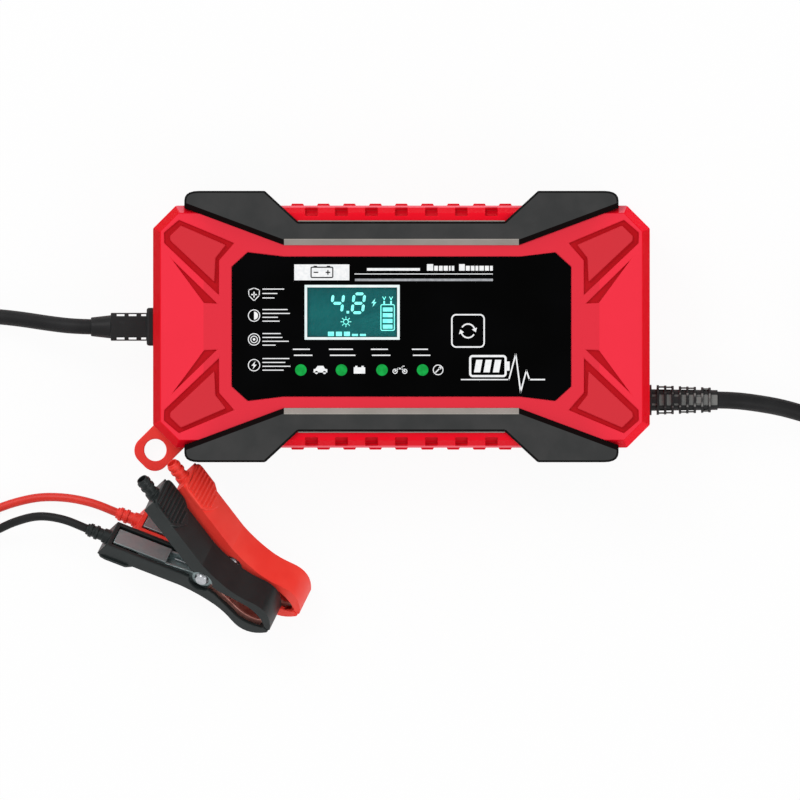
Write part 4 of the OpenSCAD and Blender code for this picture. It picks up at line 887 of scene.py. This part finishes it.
for colour, vinyl, body in (("red", vinyl_red, "red_lever"), ("black", vinyl_black, "black_lever")):
    copper = jaw_metal(colour)
    for level, rides in (("lower", "charger"), ("upper", body)):
        clamp = f"{colour}_{level}"
        rounded_copy(f"{clamp}_grip", f"{clamp}_cover", 0.35, vinyl, rides, 2, 25)
        rounded_copy(f"{clamp}_jaw", f"{clamp}_metal", 0.12, copper, rides, 1, 30)
    coat_node(f"{colour}_pivot_pin", steel)
    wind_spring(colour)


# ---- Inside
# Circuit boards, a transformer, capacitors, a choke, heat sinks with their transistors, a rectifier, a
# fuse and a relay, held by screws. They show only when the shells are taken off.
board = Finish("board_green", Roughness=0.35)
traces = board.ease(board.noise(2.2 * MM, 2, (1, 3, 1)), 0.47, 0.53)
board.set(Base_Color=board.blend(traces, paint(18, 92, 52), paint(30, 118, 66)))
board.bump(traces, 0.03 * MM)
for name in ("display_board", "main_board"):
    coat_node(name, board)
chip = moulded("chip_black", paint(34, 35, 37), paint(24, 25, 27), 0.5)
for name in ("board_link", "bridge_rectifier", "power_transistors"):
    coat_node(name, chip)
ferrite = moulded("ferrite", paint(60, 60, 64), paint(44, 44, 48), 0.6, 0.6 * MM, 0.04 * MM)
coat_node("transformer_core", ferrite)
coat_node("line_choke", moulded("choke_wound", paint(150, 74, 40), paint(120, 56, 30), 0.35))
coat_node("transformer_winding", moulded("winding_tape", paint(226, 188, 60), paint(206, 168, 48), 0.4))
coat_node("filter_capacitors", moulded("capacitor_sleeve", paint(30, 38, 74), paint(22, 28, 58), 0.3))
coat_node("output_relay", moulded("relay_blue", paint(32, 74, 158), paint(26, 62, 138), 0.4))
coat_node("fuse", moulded("fuse_ceramic", paint(226, 224, 214), paint(208, 206, 196), 0.3))
sink = Finish("sink_aluminium", Metallic=1.0)
sink.set(
    Base_Color=sink.cloudy(4 * MM, 3, paint(176, 178, 182), paint(198, 200, 204)),
    Roughness=0.38 + 0.2 * (sink.noise(0.6 * MM, 2, (1, 1, 8)) - 0.5))
coat_node("heat_sinks", sink)
for name in ("display_screws", "board_screws", "housing_screws"):
    coat_node(name, steel)


length_of(mains_path)
length_of(output_path)
length_of(red_path)
length_of(black_path)


# ---- Floor and light
# A white surface that keeps the object's shadow, a white room, and two soft lamps, the stronger one at
# the upper left.
bm = bmesh.new()
bmesh.ops.create_grid(bm, x_segments=1, y_segments=1, size=4)
bmesh.ops.translate(bm, vec=(0, 0, -0.2 * MM), verts=bm.verts)
floor = bpy.data.objects.new("floor", mesh_of("floor", bm))
bpy.context.scene.collection.objects.link(floor)
white_share, room_light = 0.93, 0.74
paper = Finish("floor_paper", Roughness=0.9, Specular_IOR_Level=0.0, Base_Color=(0.93, 0.93, 0.93, 1))
seen = paper.add("ShaderNodeLightPath", {}, {}, "Is Camera Ray")
bright = paper.add("ShaderNodeEmission", {}, {"Color": (1, 1, 1, 1), "Strength": 1.0})
plain = Wire(paper, paper.shader.outputs[0])
mixed = paper.add("ShaderNodeMixShader", {}, {0: seen * white_share, 1: plain, 2: bright})
paper.plug(paper.tree.nodes["Material Output"].inputs["Surface"], mixed)
floor.data.materials.append(paper.material)
floor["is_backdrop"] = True

world = bpy.data.worlds.new("room")
bpy.context.scene.world = world
world.use_nodes = True
room = Nodes(world.node_tree)
seen = room.add("ShaderNodeLightPath", {}, {}, "Is Camera Ray")
through = Wire(room, seen.socket.node.outputs["Is Transmission Ray"])
white_out = seen.sum("MAXIMUM", seen, through)
strength = room.add("ShaderNodeMapRange", {}, {"Value": white_out, "To Min": room_light, "To Max": 1.0})
background = world.node_tree.nodes["Background"]
room.plug(background.inputs["Strength"], strength)
background.inputs["Color"].default_value = (1, 1, 1, 1)


def lamp(name, place, power, aim=(0, 0, 0.02), size=0.9):
    """A round soft lamp, aimed at the middle of the charger."""
    data = bpy.data.lights.new(name, "AREA")
    data.shape, data.size, data.energy = "DISK", size, power
    thing = bpy.data.objects.new(name, data)
    thing.location = place
    thing.rotation_euler = (Vector(aim) - Vector(place)).to_track_quat("-Z", "Y").to_euler()
    bpy.context.scene.collection.objects.link(thing)


lamp("main_lamp", (-0.9, 0.9, 1.5), 9.5)
lamp("fill_lamp", (1.1, -0.7, 1.3), 4.5)

low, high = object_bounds()
